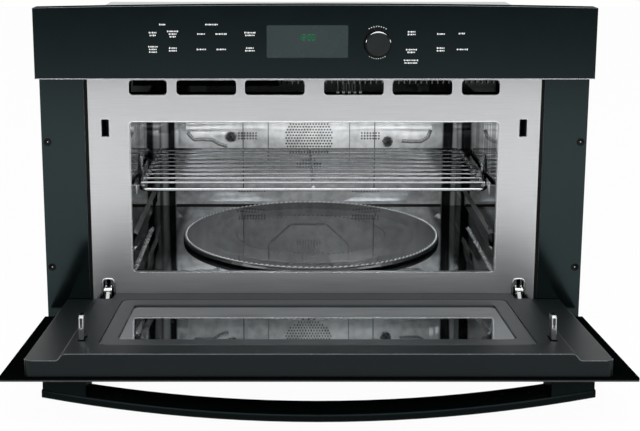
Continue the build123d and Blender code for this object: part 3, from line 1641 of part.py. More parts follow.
with BuildPart() as control_board:
    with BuildSketch(facing_front(board_y)):
        with Locations((board_x, board_z)):
            Rectangle(board_width, board_height)
        with Locations((dial_x, dial_z)):
            Circle(stem_hole, mode=Mode.SUBTRACT)
    extrude(amount=-board_sheet)
    with BuildSketch(facing_front(board_y)):
        with Locations((display_x, display_z)):
            Rectangle(display_width - 4 * housing_wall, display_height - 4 * housing_wall)
    extrude(amount=display_block)
control_board.part.label = "control_board"
export_step(control_board.part, "parts/control_board.step")

# Dial encoder: a small box on the board, bored for the stem
encoder_size = 14.0
encoder_depth = 7.0
dial_press = 1.5
stem_end = board_y - seat_gap - dial_press

with BuildPart() as dial_encoder:
    with BuildSketch(facing_front(board_y)):
        with Locations((dial_x, dial_z)):
            Rectangle(encoder_size, encoder_size)
            Circle(stem_radius + shaft_gap, mode=Mode.SUBTRACT)
    extrude(amount=encoder_depth)
dial_encoder.part.label = "dial_encoder"
export_step(dial_encoder.part, "parts/dial_encoder.step")

# Dial stem: the spindle that is pushed and that the dial turns on
dial_gap = 2.2
dial_height = 15.0
dial_radius = 17.6
dial_skin = 3.0
dial_back = panel_front - dial_gap
dial_front = dial_back - dial_height
stem_front = dial_front + dial_skin

with BuildPart() as dial_stem:
    with BuildSketch(facing_front(stem_end)):
        with Locations((dial_x, dial_z)):
            Circle(stem_radius)
    extrude(amount=stem_end - stem_front - seat_gap)
dial_stem.part.label = "dial_stem"
export_step(dial_stem.part, "parts/dial_stem.step")

# Dial: a turning knob with a fluted grip
flute_count = 24
flute_radius = 1.0
hub_wall = 3.0

with BuildPart() as dial:
    with BuildSketch(facing_front(dial_back)):
        with Locations((dial_x, dial_z)):
            Circle(dial_radius)
    extrude(amount=dial_height)
    fillet(dial.edges().sort_by(Axis.Y)[0], dial_skin / 2)
    with BuildSketch(facing_front(dial_back)):
        with Locations((dial_x, dial_z)):
            Circle(dial_radius - dial_skin)
            Circle(stem_radius + hub_wall, mode=Mode.SUBTRACT)
    extrude(amount=dial_height - dial_skin, mode=Mode.SUBTRACT)
    with BuildSketch(facing_front(dial_back)):
        with Locations((dial_x, dial_z)):
            Circle(stem_radius + shaft_gap)
    extrude(amount=dial_height - dial_skin, mode=Mode.SUBTRACT)
    with BuildSketch(facing_front(dial_back)):
        with Locations((dial_x, dial_z)):
            with PolarLocations(dial_radius, flute_count):
                Circle(flute_radius)
    extrude(amount=dial_height - dial_skin, mode=Mode.SUBTRACT)
dial.part.label = "dial"
export_step(dial.part, "parts/dial.step")
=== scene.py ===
import bmesh
import bpy
import numpy as np
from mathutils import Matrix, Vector


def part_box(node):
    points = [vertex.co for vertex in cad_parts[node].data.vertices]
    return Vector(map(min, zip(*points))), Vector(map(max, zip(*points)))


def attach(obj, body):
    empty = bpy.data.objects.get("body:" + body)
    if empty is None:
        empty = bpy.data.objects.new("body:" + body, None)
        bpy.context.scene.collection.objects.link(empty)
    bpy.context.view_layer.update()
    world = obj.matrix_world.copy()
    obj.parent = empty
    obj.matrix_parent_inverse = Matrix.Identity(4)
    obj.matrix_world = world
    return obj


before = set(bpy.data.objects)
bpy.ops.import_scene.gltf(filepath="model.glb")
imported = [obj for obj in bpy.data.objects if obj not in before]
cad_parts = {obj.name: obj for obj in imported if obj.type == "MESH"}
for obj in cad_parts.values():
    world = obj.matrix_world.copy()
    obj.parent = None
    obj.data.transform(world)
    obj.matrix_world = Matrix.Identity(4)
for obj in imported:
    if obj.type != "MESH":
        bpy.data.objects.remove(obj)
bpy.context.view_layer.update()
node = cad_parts

# Studio: a pale floor, a white surround and three large soft lamps at a plain level.
# The surround is dark straight ahead of the oven, where the photographer stood, so that the
# polished oven walls show dark between bright streaks. The camera looks down a little from above.
scene = bpy.context.scene
scene.view_settings.view_transform = "Standard"

picture_width, focal_pixels = 640, 1223
shift_right_pixels, shift_up_pixels = 32.5, -72.0
sensor_width = 36.0
camera_place = (-0.0369, -1.667, 0.616)
camera_drop = np.radians(11.0)
camera_data = bpy.data.cameras.new("camera")
camera_data.sensor_fit = "HORIZONTAL"
camera_data.sensor_width = sensor_width
camera_data.lens = sensor_width * focal_pixels / picture_width
camera_data.shift_x = shift_right_pixels / picture_width
camera_data.shift_y = shift_up_pixels / picture_width
camera_data.clip_end = 50.0
camera = bpy.data.objects.new("camera", camera_data)
camera.location = camera_place
camera.rotation_euler = (np.pi / 2 - camera_drop, 0, 0)
scene.collection.objects.link(camera)
scene.camera = camera


def new_material(name):
    """An empty node material and its Principled shader: (material, nodes, link function, shader)."""
    made = bpy.data.materials.new(name)
    made.use_nodes = True
    tree = made.node_tree
    return made, tree.nodes, tree.links.new, tree.nodes["Principled BSDF"]


def arithmetic(parts, link, step, first, second):
    """The result of one Math node on two values, each a number or another node's output."""
    worked = parts.new("ShaderNodeMath")
    worked.operation = step
    for socket, value in zip(worked.inputs, (first, second)):
        if isinstance(value, (int, float)):
            socket.default_value = value
        else:
            link(value, socket)
    return worked.outputs[0]


def spread(parts, link, value, low, high, start=0.3, end=0.7, curve="LINEAR"):
    """Maps a value between start and end onto low to high."""
    ranged = parts.new("ShaderNodeMapRange")
    ranged.interpolation_type = curve
    for socket, number in zip(ranged.inputs[1:5], (start, end, low, high)):
        socket.default_value = number
    link(value, ranged.inputs["Value"])
    return ranged.outputs[0]


surround = bpy.data.worlds.new("surround")
scene.world = surround
surround.use_nodes = True
parts, link = surround.node_tree.nodes, surround.node_tree.links.new
sky = parts["Background"]
ray = parts.new("ShaderNodeLightPath")
direction = parts.new("ShaderNodeTexCoord")
ahead = parts.new("ShaderNodeVectorMath")
ahead.operation = "DOT_PRODUCT"
ahead.inputs[1].default_value = (0, -1, 0)
link(direction.outputs["Generated"], ahead.inputs[0])
cone_edge, cone_core, cone_darkness = 0.86, 0.965, 0.97
dark_ahead = spread(parts, link, ahead.outputs["Value"], 0.0, cone_darkness, cone_edge, cone_core,
                    "SMOOTHSTEP")
seen = arithmetic(parts, link, "MAXIMUM", ray.outputs["Is Camera Ray"], ray.outputs["Is Transmission Ray"])
seen = arithmetic(parts, link, "MAXIMUM", seen, ray.outputs["Is Glossy Ray"])
fill_level = 0.45
level = spread(parts, link, seen, fill_level, 1.0, 0.0, 1.0)
shade = arithmetic(parts, link, "MULTIPLY", dark_ahead, ray.outputs["Is Glossy Ray"])
left_over = arithmetic(parts, link, "SUBTRACT", 1.0, shade)
link(arithmetic(parts, link, "MULTIPLY", level, left_over), sky.inputs["Strength"])
sky.inputs["Color"].default_value = (1, 1, 1, 1)

floor_half, floor_z = 6.0, -0.0004
floor_tone, white_share = 0.86, 0.97
floor_corners = [(x * floor_half, y * floor_half, floor_z) for x, y in ((-1, -1), (1, -1), (1, 1), (-1, 1))]
floor_mesh = bpy.data.meshes.new("studio_floor")
floor_mesh.from_pydata(floor_corners, [], [(0, 1, 2, 3)])
floor = bpy.data.objects.new("studio_floor", floor_mesh)
scene.collection.objects.link(floor)
floor_paint, parts, link, shader = new_material("studio_floor")
shader.inputs["Base Color"].default_value = (floor_tone, floor_tone, floor_tone, 1)
shader.inputs["Roughness"].default_value = 0.8
shader.inputs["Specular IOR Level"].default_value = 0.0
glow = parts.new("ShaderNodeEmission")
ray = parts.new("ShaderNodeLightPath")
mix = parts.new("ShaderNodeMixShader")
link(arithmetic(parts, link, "MULTIPLY", ray.outputs["Is Camera Ray"], white_share), mix.inputs[0])
link(shader.outputs[0], mix.inputs[1])
link(glow.outputs[0], mix.inputs[2])
link(mix.outputs[0], parts["Material Output"].inputs["Surface"])
floor_mesh.materials.append(floor_paint)


def soft_lamp(name, place, target, size_x, size_y, power):
    """A rectangular area lamp at place, aimed at target; returns its object."""
    lamp = bpy.data.lights.new(name, "AREA")
    lamp.shape = "RECTANGLE"
    lamp.size, lamp.size_y, lamp.energy = size_x, size_y, power
    holder = bpy.data.objects.new(name, lamp)
    holder.location = place
    holder.rotation_euler = (Vector(target) - Vector(place)).to_track_quat("-Z", "Y").to_euler()
    scene.collection.objects.link(holder)
    return holder


soft_lamp("lamp_overhead", (0, -1.5, 2.3), (0, 0.0, 0.2), 2.8, 1.7, 48)
soft_lamp("lamp_left", (-2.4, -1.8, 1.3), (0, 0, 0.25), 1.2, 1.8, 17)
soft_lamp("lamp_right", (2.4, -1.8, 1.3), (0, 0, 0.25), 1.2, 1.8, 17)

# Oven lamp: the light that the halogen lamps throw from the cavity's ceiling towards its back.
# A small soft lamp gives it, and the polished walls don't mirror the lamp itself.
oven_lamp = soft_lamp("lamp_oven", (0, 0.10, 0.315), (0, 0.412, 0.15), 0.34, 0.10, 3.0)
oven_lamp.visible_glossy = False

# Case: base pan, side panels, top cover, rear panel and front rail are folded from zinc-coated sheet.
# The coating shows a faint crystal spangle and soft handling marks, and the sheets are screwed
# together at the back.
mm = 0.001


def effect_group(name, inputs, outputs):
    """An empty shader node group with named sockets: (group, nodes, link function, entry, exit)."""
    group = bpy.data.node_groups.new(name, "ShaderNodeTree")
    for label, kind, value in inputs:
        socket = group.interface.new_socket(label, in_out="INPUT", socket_type=kind)
        if value is not None:
            socket.default_value = value
    for label, kind in outputs:
        group.interface.new_socket(label, in_out="OUTPUT", socket_type=kind)
    return (group, group.nodes, group.links.new,
            group.nodes.new("NodeGroupInput").outputs, group.nodes.new("NodeGroupOutput").inputs)


def two_tone(parts, link, factor, first, second):
    """A blend of two colours, each a tuple or another node's output, by a factor from 0 to 1."""
    blend = parts.new("ShaderNodeMix")
    blend.data_type = "RGBA"
    link(factor, blend.inputs["Factor"])
    for label, colour in (("A", first), ("B", second)):
        if isinstance(colour, tuple):
            blend.inputs[label].default_value = (*colour, 1)
        else:
            link(colour, blend.inputs[label])
    return blend.outputs["Result"]


def haze_group():
    """Soft cloudy marks: two sizes of noise blend two colours and two roughnesses."""
    group, parts, link, entry, leave = effect_group(
        "soft_haze",
        [("Vector", "NodeSocketVector", None), ("Scale", "NodeSocketFloat", 6.0),
         ("Dark", "NodeSocketColor", None), ("Light", "NodeSocketColor", None),
         ("Smooth", "NodeSocketFloat", 0.1), ("Rough", "NodeSocketFloat", 0.3)],
        [("Color", "NodeSocketColor"), ("Roughness", "NodeSocketFloat")])
    wide = parts.new("ShaderNodeTexNoise")
    wide.inputs["Detail"].default_value = 3.0
    link(entry["Vector"], wide.inputs["Vector"])
    link(entry["Scale"], wide.inputs["Scale"])
    fine = parts.new("ShaderNodeTexNoise")
    fine.inputs["Detail"].default_value = 4.0
    link(entry["Vector"], fine.inputs["Vector"])
    link(arithmetic(parts, link, "MULTIPLY", entry["Scale"], 7.0), fine.inputs["Scale"])
    both = arithmetic(parts, link, "ADD", wide.outputs["Fac"], fine.outputs["Fac"])
    cloud = spread(parts, link, both, 0.0, 1.0, 0.7, 1.3)
    ranged = parts.new("ShaderNodeMapRange")
    link(cloud, ranged.inputs["Value"])
    link(entry["Smooth"], ranged.inputs["To Min"])
    link(entry["Rough"], ranged.inputs["To Max"])
    link(two_tone(parts, link, cloud, entry["Dark"], entry["Light"]), leave["Color"])
    link(ranged.outputs[0], leave["Roughness"])
    return group


def relief_group():
    """Fine surface relief: noise on stretched coordinates, such as orange peel or brushing."""
    group, parts, link, entry, leave = effect_group(
        "fine_relief",
        [("Vector", "NodeSocketVector", None), ("Stretch", "NodeSocketVector", (1.0, 1.0, 1.0)),
         ("Scale", "NodeSocketFloat", 1000.0)],
        [("Height", "NodeSocketFloat")])
    stretched = parts.new("ShaderNodeVectorMath")
    stretched.operation = "MULTIPLY"
    link(entry["Vector"], stretched.inputs[0])
    link(entry["Stretch"], stretched.inputs[1])
    texture = parts.new("ShaderNodeTexNoise")
    texture.inputs["Detail"].default_value = 2.0
    link(stretched.outputs[0], texture.inputs["Vector"])
    link(entry["Scale"], texture.inputs["Scale"])
    link(texture.outputs["Fac"], leave["Height"])
    return group


soft_haze = haze_group()
fine_relief = relief_group()


def placed(parts, link, group, **values):
    """Places a node group with its own input values, which are numbers, tuples or another node's output."""
    used = parts.new("ShaderNodeGroup")
    used.node_tree = group
    for label, value in values.items():
        if isinstance(value, bpy.types.NodeSocket):
            link(value, used.inputs[label])
        elif used.inputs[label].type == "RGBA":
            used.inputs[label].default_value = (*value, 1)
        else:
            used.inputs[label].default_value = value
    return used.outputs


def bumped(parts, link, shader, height, strength, distance, normal=None):
    """Bumps the shader's normal by a height between 0 and 1, over a rise in metres."""
    ridge = parts.new("ShaderNodeBump")
    ridge.inputs["Strength"].default_value = strength
    ridge.inputs["Distance"].default_value = distance
    link(height, ridge.inputs["Height"])
    if normal:
        link(normal, ridge.inputs["Normal"])
    link(ridge.outputs[0], shader.inputs["Normal"])


def rounded_edges(parts, radius):
    """The normal of the surface with its edges rounded over a radius in metres."""
    edge = parts.new("ShaderNodeBevel")
    edge.samples = 4
    edge.inputs["Radius"].default_value = radius
    return edge.outputs[0]


def finish(name, haze, dark, light, smooth, rough, metallic=0.0, specular=0.5, relief=None, edge=None):
    """A hazed finish: colours and roughness from soft_haze at a scale per metre, relief as (scale, stretch,
    strength, rise), and edges rounded over a radius. Returns (material, nodes, link function, shader,
    coordinates)."""
    made, parts, link, shader = new_material(name)
    where = parts.new("ShaderNodeTexCoord").outputs["Object"]
    marks = placed(parts, link, soft_haze, Vector=where, Scale=haze, Dark=dark, Light=light,
                   Smooth=smooth, Rough=rough)
    link(marks["Color"], shader.inputs["Base Color"])
    link(marks["Roughness"], shader.inputs["Roughness"])
    shader.inputs["Metallic"].default_value = metallic
    shader.inputs["Specular IOR Level"].default_value = specular
    normal = rounded_edges(parts, edge) if edge else None
    if relief:
        scale, stretch, strength, rise = relief
        height = placed(parts, link, fine_relief, Vector=where, Scale=scale, Stretch=stretch)["Height"]
        bumped(parts, link, shader, height, strength, rise, normal)
    elif normal:
        link(normal, shader.inputs["Normal"])
    return made, parts, link, shader, where


def coat(name, *tones, sockets={}, **more):
    """The material of a hazed finish that needs no more nodes, with constants on named shader sockets."""
    made, _, _, shader, _ = finish(name, *tones, **more)
    for label, value in sockets.items():
        shader.inputs[label].default_value = value
    return made


def dress(made, *names):
    """Gives the CAD nodes of these names one finish."""
    for name in names:
        mesh = node[name].data
        mesh.materials.clear()
        mesh.materials.append(made)


def solid(rings, closed=False):
    """A closed solid over rings of points (rings, sides, 3): quads join each ring to the next, either round
    a closed path or between two flat ends. Returns (points, faces)."""
    count, sides = rings.shape[:2]
    row = np.arange(count if closed else count - 1)[:, None] * sides
    after = (row + sides) % (count * sides)
    side = np.arange(sides)[None, :]
    turn = (side + 1) % sides
    faces = np.stack([row + side, row + turn, after + turn, after + side], -1).reshape(-1, 4).tolist()
    if not closed:
        faces += [list(range(sides)), list(range((count - 1) * sides, count * sides))]
    return rings.reshape(-1, 3), faces


def add_piece(name, body, made, *solids):
    """One piece from closed solids, facing outwards, smooth except at sharp edges, and riding on a body."""
    starts = np.cumsum([0] + [len(points) for points, _ in solids])
    faces = [[corner + start for corner in face]
             for (_, part), start in zip(solids, starts) for face in part]
    mesh = bpy.data.meshes.new(name)
    mesh.from_pydata(np.concatenate([points for points, _ in solids]).tolist(), [], faces)
    shell = bmesh.new()
    shell.from_mesh(mesh)
    bmesh.ops.recalc_face_normals(shell, faces=shell.faces)
    shell.to_mesh(mesh)
    shell.free()
    mesh.shade_smooth()
    mesh.set_sharp_from_angle(angle=0.6)
    mesh.materials.append(made)
    piece = bpy.data.objects.new(name, mesh)
    scene.collection.objects.link(piece)
    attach(piece, body)
    return piece


def turned(profile, centre, axis, sides=24):
    """A solid of revolution: a profile (steps, 2) of radius and height, turned round an axis through a
    centre. A point is centre + radius * (cos t * u + sin t * v) + height * axis."""
    axis = np.array(axis, float)
    first = np.cross(axis, (0.0, 0.6, 0.8) if abs(axis[0]) > 0.5 else (1.0, 0.0, 0.0))
    first /= np.linalg.norm(first)
    second = np.cross(axis, first)
    turn = np.linspace(0, 2 * np.pi, sides, endpoint=False)
    spoke = np.cos(turn)[:, None] * first + np.sin(turn)[:, None] * second
    profile = np.array(profile, float)
    return solid(np.array(centre) + profile[:, :1, None] * spoke + (profile[:, 1:] * axis)[:, None])


zinc, parts, link, shader, where = finish("zinc_sheet", 6.0, (0.44, 0.46, 0.47), (0.54, 0.56, 0.57), 0.34,
                                          0.50, metallic=1.0, edge=0.8 * mm)
spangle = parts.new("ShaderNodeTexVoronoi")
spangle.inputs["Scale"].default_value = 70.0
link(where, spangle.inputs["Vector"])
flake = parts.new("ShaderNodeRGBToBW")
link(spangle.outputs["Color"], flake.inputs[0])
bumped(parts, link, shader, flake.outputs[0], 0.15, 0.0004, rounded_edges(parts, 0.8 * mm))
dress(zinc, "base_pan", "side_panel_left", "side_panel_right", "top_cover", "rear_panel", "front_rail",
      "waveguide")

# Spot welds: round dimples in two rows along the folded front and rear edges of each side panel,
# where the panels are welded to their corner folds before coating.
weld_radius = 3.2 * mm
weld_profile = [(0.001 * mm, 0.02 * mm), (weld_radius * 0.55, 0.10 * mm), (weld_radius * 0.8, 0.34 * mm),
                (weld_radius, 0.05 * mm), (weld_radius, -0.4 * mm)]
weld_heights, weld_rows = np.linspace(60, 400, 8) * mm, (14 * mm, 531 * mm)
welds = []
for side, panel in ((-1, "side_panel_left"), (1, "side_panel_right")):
    low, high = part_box(panel)
    face_x = (low[0] if side < 0 else high[0]) - side * 0.35 * mm
    for y in weld_rows:
        welds += [turned(weld_profile, (face_x, y, z), (side, 0, 0), 12) for z in weld_heights]
add_piece("spot_welds", "case", zinc, *welds)

# Case screws: zinc-plated pan heads, two on each rear edge and a row between. Each has a black cross laid on
# its head as the painted shade of a cross recess.
screw_zinc = coat("screw_zinc", 160.0, (0.58, 0.58, 0.56), (0.74, 0.74, 0.72), 0.22, 0.36, metallic=1.0,
                  edge=0.4 * mm)
dress(screw_zinc, "case_screws")
painted_shade_black = coat("painted_shade_black", 300.0, (0.002, 0.002, 0.002), (0.006, 0.006, 0.006), 0.5, 0.7,
                    specular=0.2)


def cross_mark(centre, reach, half_width, rise, axes):
    """A flat plus sign: a twelve-sided outline with arms of one width, given a small thickness."""
    corners = np.array([(1, 3), (1, 1), (3, 1), (3, -1), (1, -1), (1, -3),
                        (-1, -3), (-1, -1), (-3, -1), (-3, 1), (-1, 1), (-1, 3)], float)
    reaches = np.where(np.abs(corners) > 2, np.sign(corners) * reach, np.sign(corners) * half_width)
    across, along, out = np.array(axes, float)
    flat = np.array(centre) + reaches[:, :1] * across + reaches[:, 1:] * along
    return solid(np.stack([flat, flat + rise * out]))


screw_low, screw_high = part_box("case_screws")
head_half = 4 * mm
screw_spots = [(x, z) for x in np.linspace(screw_low[0] + head_half, screw_high[0] - head_half, 4)
               for z in (screw_low[2] + head_half, screw_high[2] - head_half)]
add_piece("case_screw_recess_shade", "case", painted_shade_black,
          *[cross_mark((x, screw_high[1] - 0.15 * mm, z), 2.3 * mm, 0.5 * mm, 0.2 * mm,
                       ((1, 0, 0), (0, 0, 1), (0, 1, 0))) for x, z in screw_spots])

# Flanges and bottom vent: steel sprayed with one black gloss enamel.
# The enamel mirrors the studio with a cool tint, has a fine orange peel and soft rounded edges.
enamel_tint = (0.66, 0.93, 0.97)
enamel = coat("gloss_enamel", 5.0, (0.0012, 0.0022, 0.0023), (0.0022, 0.0034, 0.0035), 0.09, 0.15,
              relief=(1400.0, (1, 1, 1), 0.12, 0.1 * mm), edge=1.0 * mm,
              sockets={"Specular Tint": (*enamel_tint, 1)})
dress(enamel, "mounting_flanges", "bottom_vent")

# Gap strips: black folded strips set in the narrow gap between each flange and the face frame, as painted
# shade in the gap. They hide the zinc edges of the side panels behind.
black_trim_and_painted_shade = coat("black_trim_and_painted_shade", 40.0, (0.0006, 0.0008, 0.0008), (0.0014, 0.0016, 0.0016), 0.45, 0.6,
                   specular=0.15)
face_low, face_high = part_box("face_frame")
flange_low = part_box("mounting_flanges")[0]
flange_inner = 317.7 * mm
strip_profile = np.array([(-1.0, 0.0), (-0.8, 0.55), (0.0, 0.8), (0.8, 0.55), (1.0, 0.0)])
strip_width = (flange_inner - face_high[0]) / 2 - 0.15 * mm
strip_middle = (flange_inner + face_high[0]) / 2


def strip_rings(x, low_z, high_z):
    """A crowned strip standing between two heights, its profile across X and towards the front."""
    reach, rise = strip_profile.T
    across = np.stack([x + reach * strip_width, -rise * mm, 0 * rise], -1)
    return across + np.array([[[0, -0.05 * mm, low_z]], [[0, -0.05 * mm, high_z]]])


strip_low, strip_high = face_low[2], face_high[2] - 0.2 * mm
add_piece("gap_shade_strips", "case", black_trim_and_painted_shade,
          *[solid(strip_rings(side * strip_middle, strip_low, strip_high)) for side in (-1, 1)])

# Flange eyelets: black dished washers pressed into the four cabinet screw holes of the flanges,
# where a screw head beds without marking the enamel.
eyelet_profile = [(0.6, -0.5), (1.2, -1.0), (2.6, -0.75), (3.4, -0.35), (4.6, -0.12),
                  (5.4, 0.12), (4.9, 0.50), (4.2, 0.30), (2.7, 0.0), (1.3, -0.55)]
eyelet_turn = np.linspace(0, 2 * np.pi, 28, endpoint=False)


def eyelet(x, z):
    """A ring whose closed profile of radius and forward height is turned round a hole's axis."""
    radius, out = np.array(eyelet_profile).T * mm
    spoke = np.stack([np.cos(eyelet_turn), np.sin(eyelet_turn)], -1)
    flat = np.stack([x + spoke[:, None, 0] * radius, flange_low[1] - out + 0 * spoke[:, None, 0],
                     z + spoke[:, None, 1] * radius], -1)
    return solid(flat, closed=True)


eyelet_x = 369.6 * mm
eyelet_heights = (114.2 * mm, 294.5 * mm)
eyelet_places = [(side * eyelet_x, z) for side in (-1, 1) for z in eyelet_heights]
add_piece("flange_eyelets", "case", black_trim_and_painted_shade, *[eyelet(x, z) for x, z in eyelet_places])

# Face frame: one blank of stainless steel brushed from side to side, with pressed slots.
# The brushing is a fine relief drawn out along X, over wider faint streaks of roughness.
brushed, parts, link, shader, where = finish("brushed_front", 3.0, (0.66, 0.67, 0.685), (0.72, 0.73, 0.745),
                                             0.30, 0.36, metallic=1.0,
                                             relief=(1.0, (16, 40, 2400), 0.6, 0.12 * mm), edge=0.8 * mm)
streak = placed(parts, link, fine_relief, Vector=where, Scale=1.0, Stretch=(14, 10, 1500))["Height"]
link(spread(parts, link, streak, 0.30, 0.37), shader.inputs["Roughness"])
link(two_tone(parts, link, streak, (0.64, 0.65, 0.665), (0.82, 0.83, 0.845)), shader.inputs["Base Color"])
dress(brushed, "face_frame")

# Hemmed lips: the edges of the mouth, the six vent slots and the two latch slots are rolled over,
# and the roll shows as a thin bright line.
bright_lip = coat("bright_lip", 60.0, (0.62, 0.63, 0.64), (0.74, 0.75, 0.76), 0.20, 0.30, metallic=1.0)


def rounded_outline(width, height, corner, steps=6):
    """A closed loop (n, 2) round a rectangle from its middle, each corner a quarter circle."""
    turn = np.linspace(0, np.pi / 2, steps)
    arcs = [np.stack([x * (width / 2 - corner) + corner * np.cos(turn + start),
                      z * (height / 2 - corner) + corner * np.sin(turn + start)], -1)
            for x, z, start in ((1, 1, 0), (-1, 1, np.pi / 2), (-1, -1, np.pi), (1, -1, 1.5 * np.pi))]
    return np.concatenate(arcs)


def carried(path, profile, up, closed=False):
    """Rings of a profile (sides, 2) carried along a path (steps, 3): its first axis lies along tangent x up,
    its second along what is left of up."""
    along = np.roll(path, -1, 0) - np.roll(path, 1, 0) if closed else np.gradient(path, axis=0)
    along /= np.linalg.norm(along, axis=1, keepdims=True)
    across = np.cross(along, up)
    across /= np.linalg.norm(across, axis=1, keepdims=True)
    over = np.cross(across, along)
    return path[:, None] + profile[None, :, :1] * across[:, None] + profile[None, :, 1:] * over[:, None]


def half_round(width, height, steps=7):
    """A D-shaped profile: half an ellipse over a flat foot."""
    turn = np.linspace(0, np.pi, steps)
    return np.stack([width / 2 * np.cos(turn), height * np.sin(turn)], -1)


def on_front(loop, x, y, z):
    """A flat loop (n, 2) stood upright in the plane of the front, round a middle."""
    return np.stack([x + loop[:, 0], np.full(len(loop), y), z + loop[:, 1]], -1)


towards_front = np.array((0.0, -1.0, 0.0))
face_y = -1.5 * mm
mouth_width, mouth_height, mouth_corner, mouth_middle = 511.0 * mm, 215.5 * mm, 4.0 * mm, 214.35 * mm
slot_height, slot_corner, slot_middle = 20.5 * mm, 5.0 * mm, 370.55 * mm
slot_columns = ((54.4, 82.4), (148.6, 82.4), (229.0, 52.3))
latch_width, latch_height, latch_corner = 10.3 * mm, 24.5 * mm, 1.0 * mm
latch_place, latch_middle = 289.2 * mm, 313.95 * mm
mouth_bead, mouth_rise = 1.3 * mm, 0.35 * mm
slot_bead, slot_rise = 0.7 * mm, 0.2 * mm


def lip(width, height, corner, x, z, bead, rise):
    """A half-round bead round an opening of the face frame."""
    loop = on_front(rounded_outline(width + bead, height + bead, corner + bead / 2), x, face_y, z)
    return solid(carried(loop, half_round(bead, rise), towards_front, closed=True), closed=True)


add_piece("mouth_lip", "case", bright_lip,
          lip(mouth_width, mouth_height, mouth_corner, 0, mouth_middle, mouth_bead, mouth_rise))
slots = [(width * mm, slot_height, slot_corner, side * x * mm, slot_middle)
         for side in (-1, 1) for x, width in slot_columns]
slots += [(latch_width, latch_height, latch_corner, side * latch_place, latch_middle) for side in (-1, 1)]
add_piece("slot_lips", "case", bright_lip, *[lip(*slot, slot_bead, slot_rise) for slot in slots])

# Exhaust duct: zinc sheet coloured black inside, painted shade so that it doesn't show through the slots.
# Only the front edges of its fins and baffle, where light reaches through the slots, are painted dull grey.


def coordinate(parts, link, where, axis):
    """One coordinate of the shaded point in metres: "X", "Y" or "Z"."""
    split = parts.new("ShaderNodeSeparateXYZ")
    link(where, split.inputs[0])
    return split.outputs[axis]


duct_painted_shade, parts, link, shader, where = finish(
    "duct_painted_shade", 30.0, (0.0008, 0.0009, 0.0009), (0.002, 0.002, 0.002), 0.5, 0.7, specular=0.0)
fins_start, fins_low, fins_high, fins_back = -36.0 * mm, 371.5 * mm, 383.9 * mm, 6.6 * mm
# Mask of the lit fin edges: painted light there, painted shade on the rest of the duct.
lit_fin_edges = 1.0
for axis, side_of, limit in (("X", "GREATER_THAN", fins_start), ("Z", "GREATER_THAN", fins_low),
                             ("Z", "LESS_THAN", fins_high), ("Y", "LESS_THAN", fins_back)):
    inside = arithmetic(parts, link, side_of, coordinate(parts, link, where, axis), limit)
    lit_fin_edges = arithmetic(parts, link, "MULTIPLY", lit_fin_edges, inside)
link(two_tone(parts, link, lit_fin_edges, (0.001, 0.001, 0.001), (0.20, 0.22, 0.23)), shader.inputs["Base Color"])
dress(duct_painted_shade, "exhaust_duct")
# Fan housing, fan and motor: flat black without gloss, painted shade behind the back wall's air holes.
fan_painted_shade = coat("fan_painted_shade", 30.0, (0.0010, 0.0010, 0.0010), (0.003, 0.003, 0.003), 0.6, 0.8, specular=0.0)
dress(fan_painted_shade, "fan_housing", "convection_fan", "convection_motor")

# Terminal comb: a grey moulded comb hangs from the duct's roof behind the fourth slot, and small plated feet
# end its teeth. The glint of their plating is painted as flat white.
comb_y = 12.0 * mm
tooth_places = np.array((33.0, 40.9, 44.9, 48.9, 52.8, 56.7, 64.4)) * mm
foot_places = tooth_places[[0, 1, 3, 5, 6]]


def upright_bar(x, width, low_z, high_z, depth):
    """A flat bar with a rounded outline, standing behind a slot."""
    loop = on_front(rounded_outline(width, high_z - low_z, width * 0.3, 4), x, comb_y, (high_z + low_z) / 2)
    return solid(np.stack([loop, loop - towards_front * depth]))


white_print_and_painted_glint = coat("white_print_and_painted_glint", 200.0, (0.80, 0.83, 0.83), (0.92, 0.94, 0.94), 0.4, 0.5)
comb_grey = coat("comb_grey", 90.0, (0.030, 0.034, 0.036), (0.050, 0.056, 0.058), 0.5, 0.6)
add_piece("terminal_comb", "case", comb_grey,
          *[upright_bar(x, 1.8 * mm, 361.6 * mm, 383.8 * mm, 2.0 * mm) for x in tooth_places])
add_piece("comb_feet_painted_glint", "case", white_print_and_painted_glint,
          *[upright_bar(x, 3.8 * mm, 360.6 * mm, 363.4 * mm, 1.2 * mm) for x in foot_places])

# Cavity: polished stainless sheets. Floor and sides are flat mirrors, the back wall is pressed and a little
# wavy, and seam welds and screws show on it. Dark reflections are painted into their colour: near-black side
# walls with painted light streaks, a dark streaked floor beside the tray and dark back wall ends.


def streaked(parts, link, shader, where, stretch, dark, light, mask):
    """Lays streaks that run from a dark to a light tone over the shader's colour, where a mask says so."""
    streak = placed(parts, link, fine_relief, Vector=where, Scale=1.0, Stretch=stretch)["Height"]
    tone = two_tone(parts, link, spread(parts, link, streak, 0.0, 1.0, 0.46, 0.66), dark, light)
    under = shader.inputs["Base Color"].links[0].from_socket
    link(two_tone(parts, link, mask, under, tone), shader.inputs["Base Color"])


floor_polish_painted_reflection, parts, link, shader, where = finish(
    "cavity_mirror_painted_reflection", 30.0, (0.62, 0.64, 0.65), (0.69, 0.71, 0.72), 0.015, 0.045, metallic=1.0,
    relief=(1.0, (1200, 6, 6), 0.12, 0.1 * mm))
# Painted reflection: beyond the tray's edge the floor and ceiling turn dark and streaked.
beside = arithmetic(parts, link, "ABSOLUTE", coordinate(parts, link, where, "X"), 0.0)
tray_edge, dark_reflection_start = 203.0 * mm, 212.0 * mm
streaked(parts, link, shader, where, (60, 0, 0), (0.012, 0.014, 0.015), (0.16, 0.17, 0.18),
         spread(parts, link, beside, 0.0, 1.0, tray_edge, dark_reflection_start))
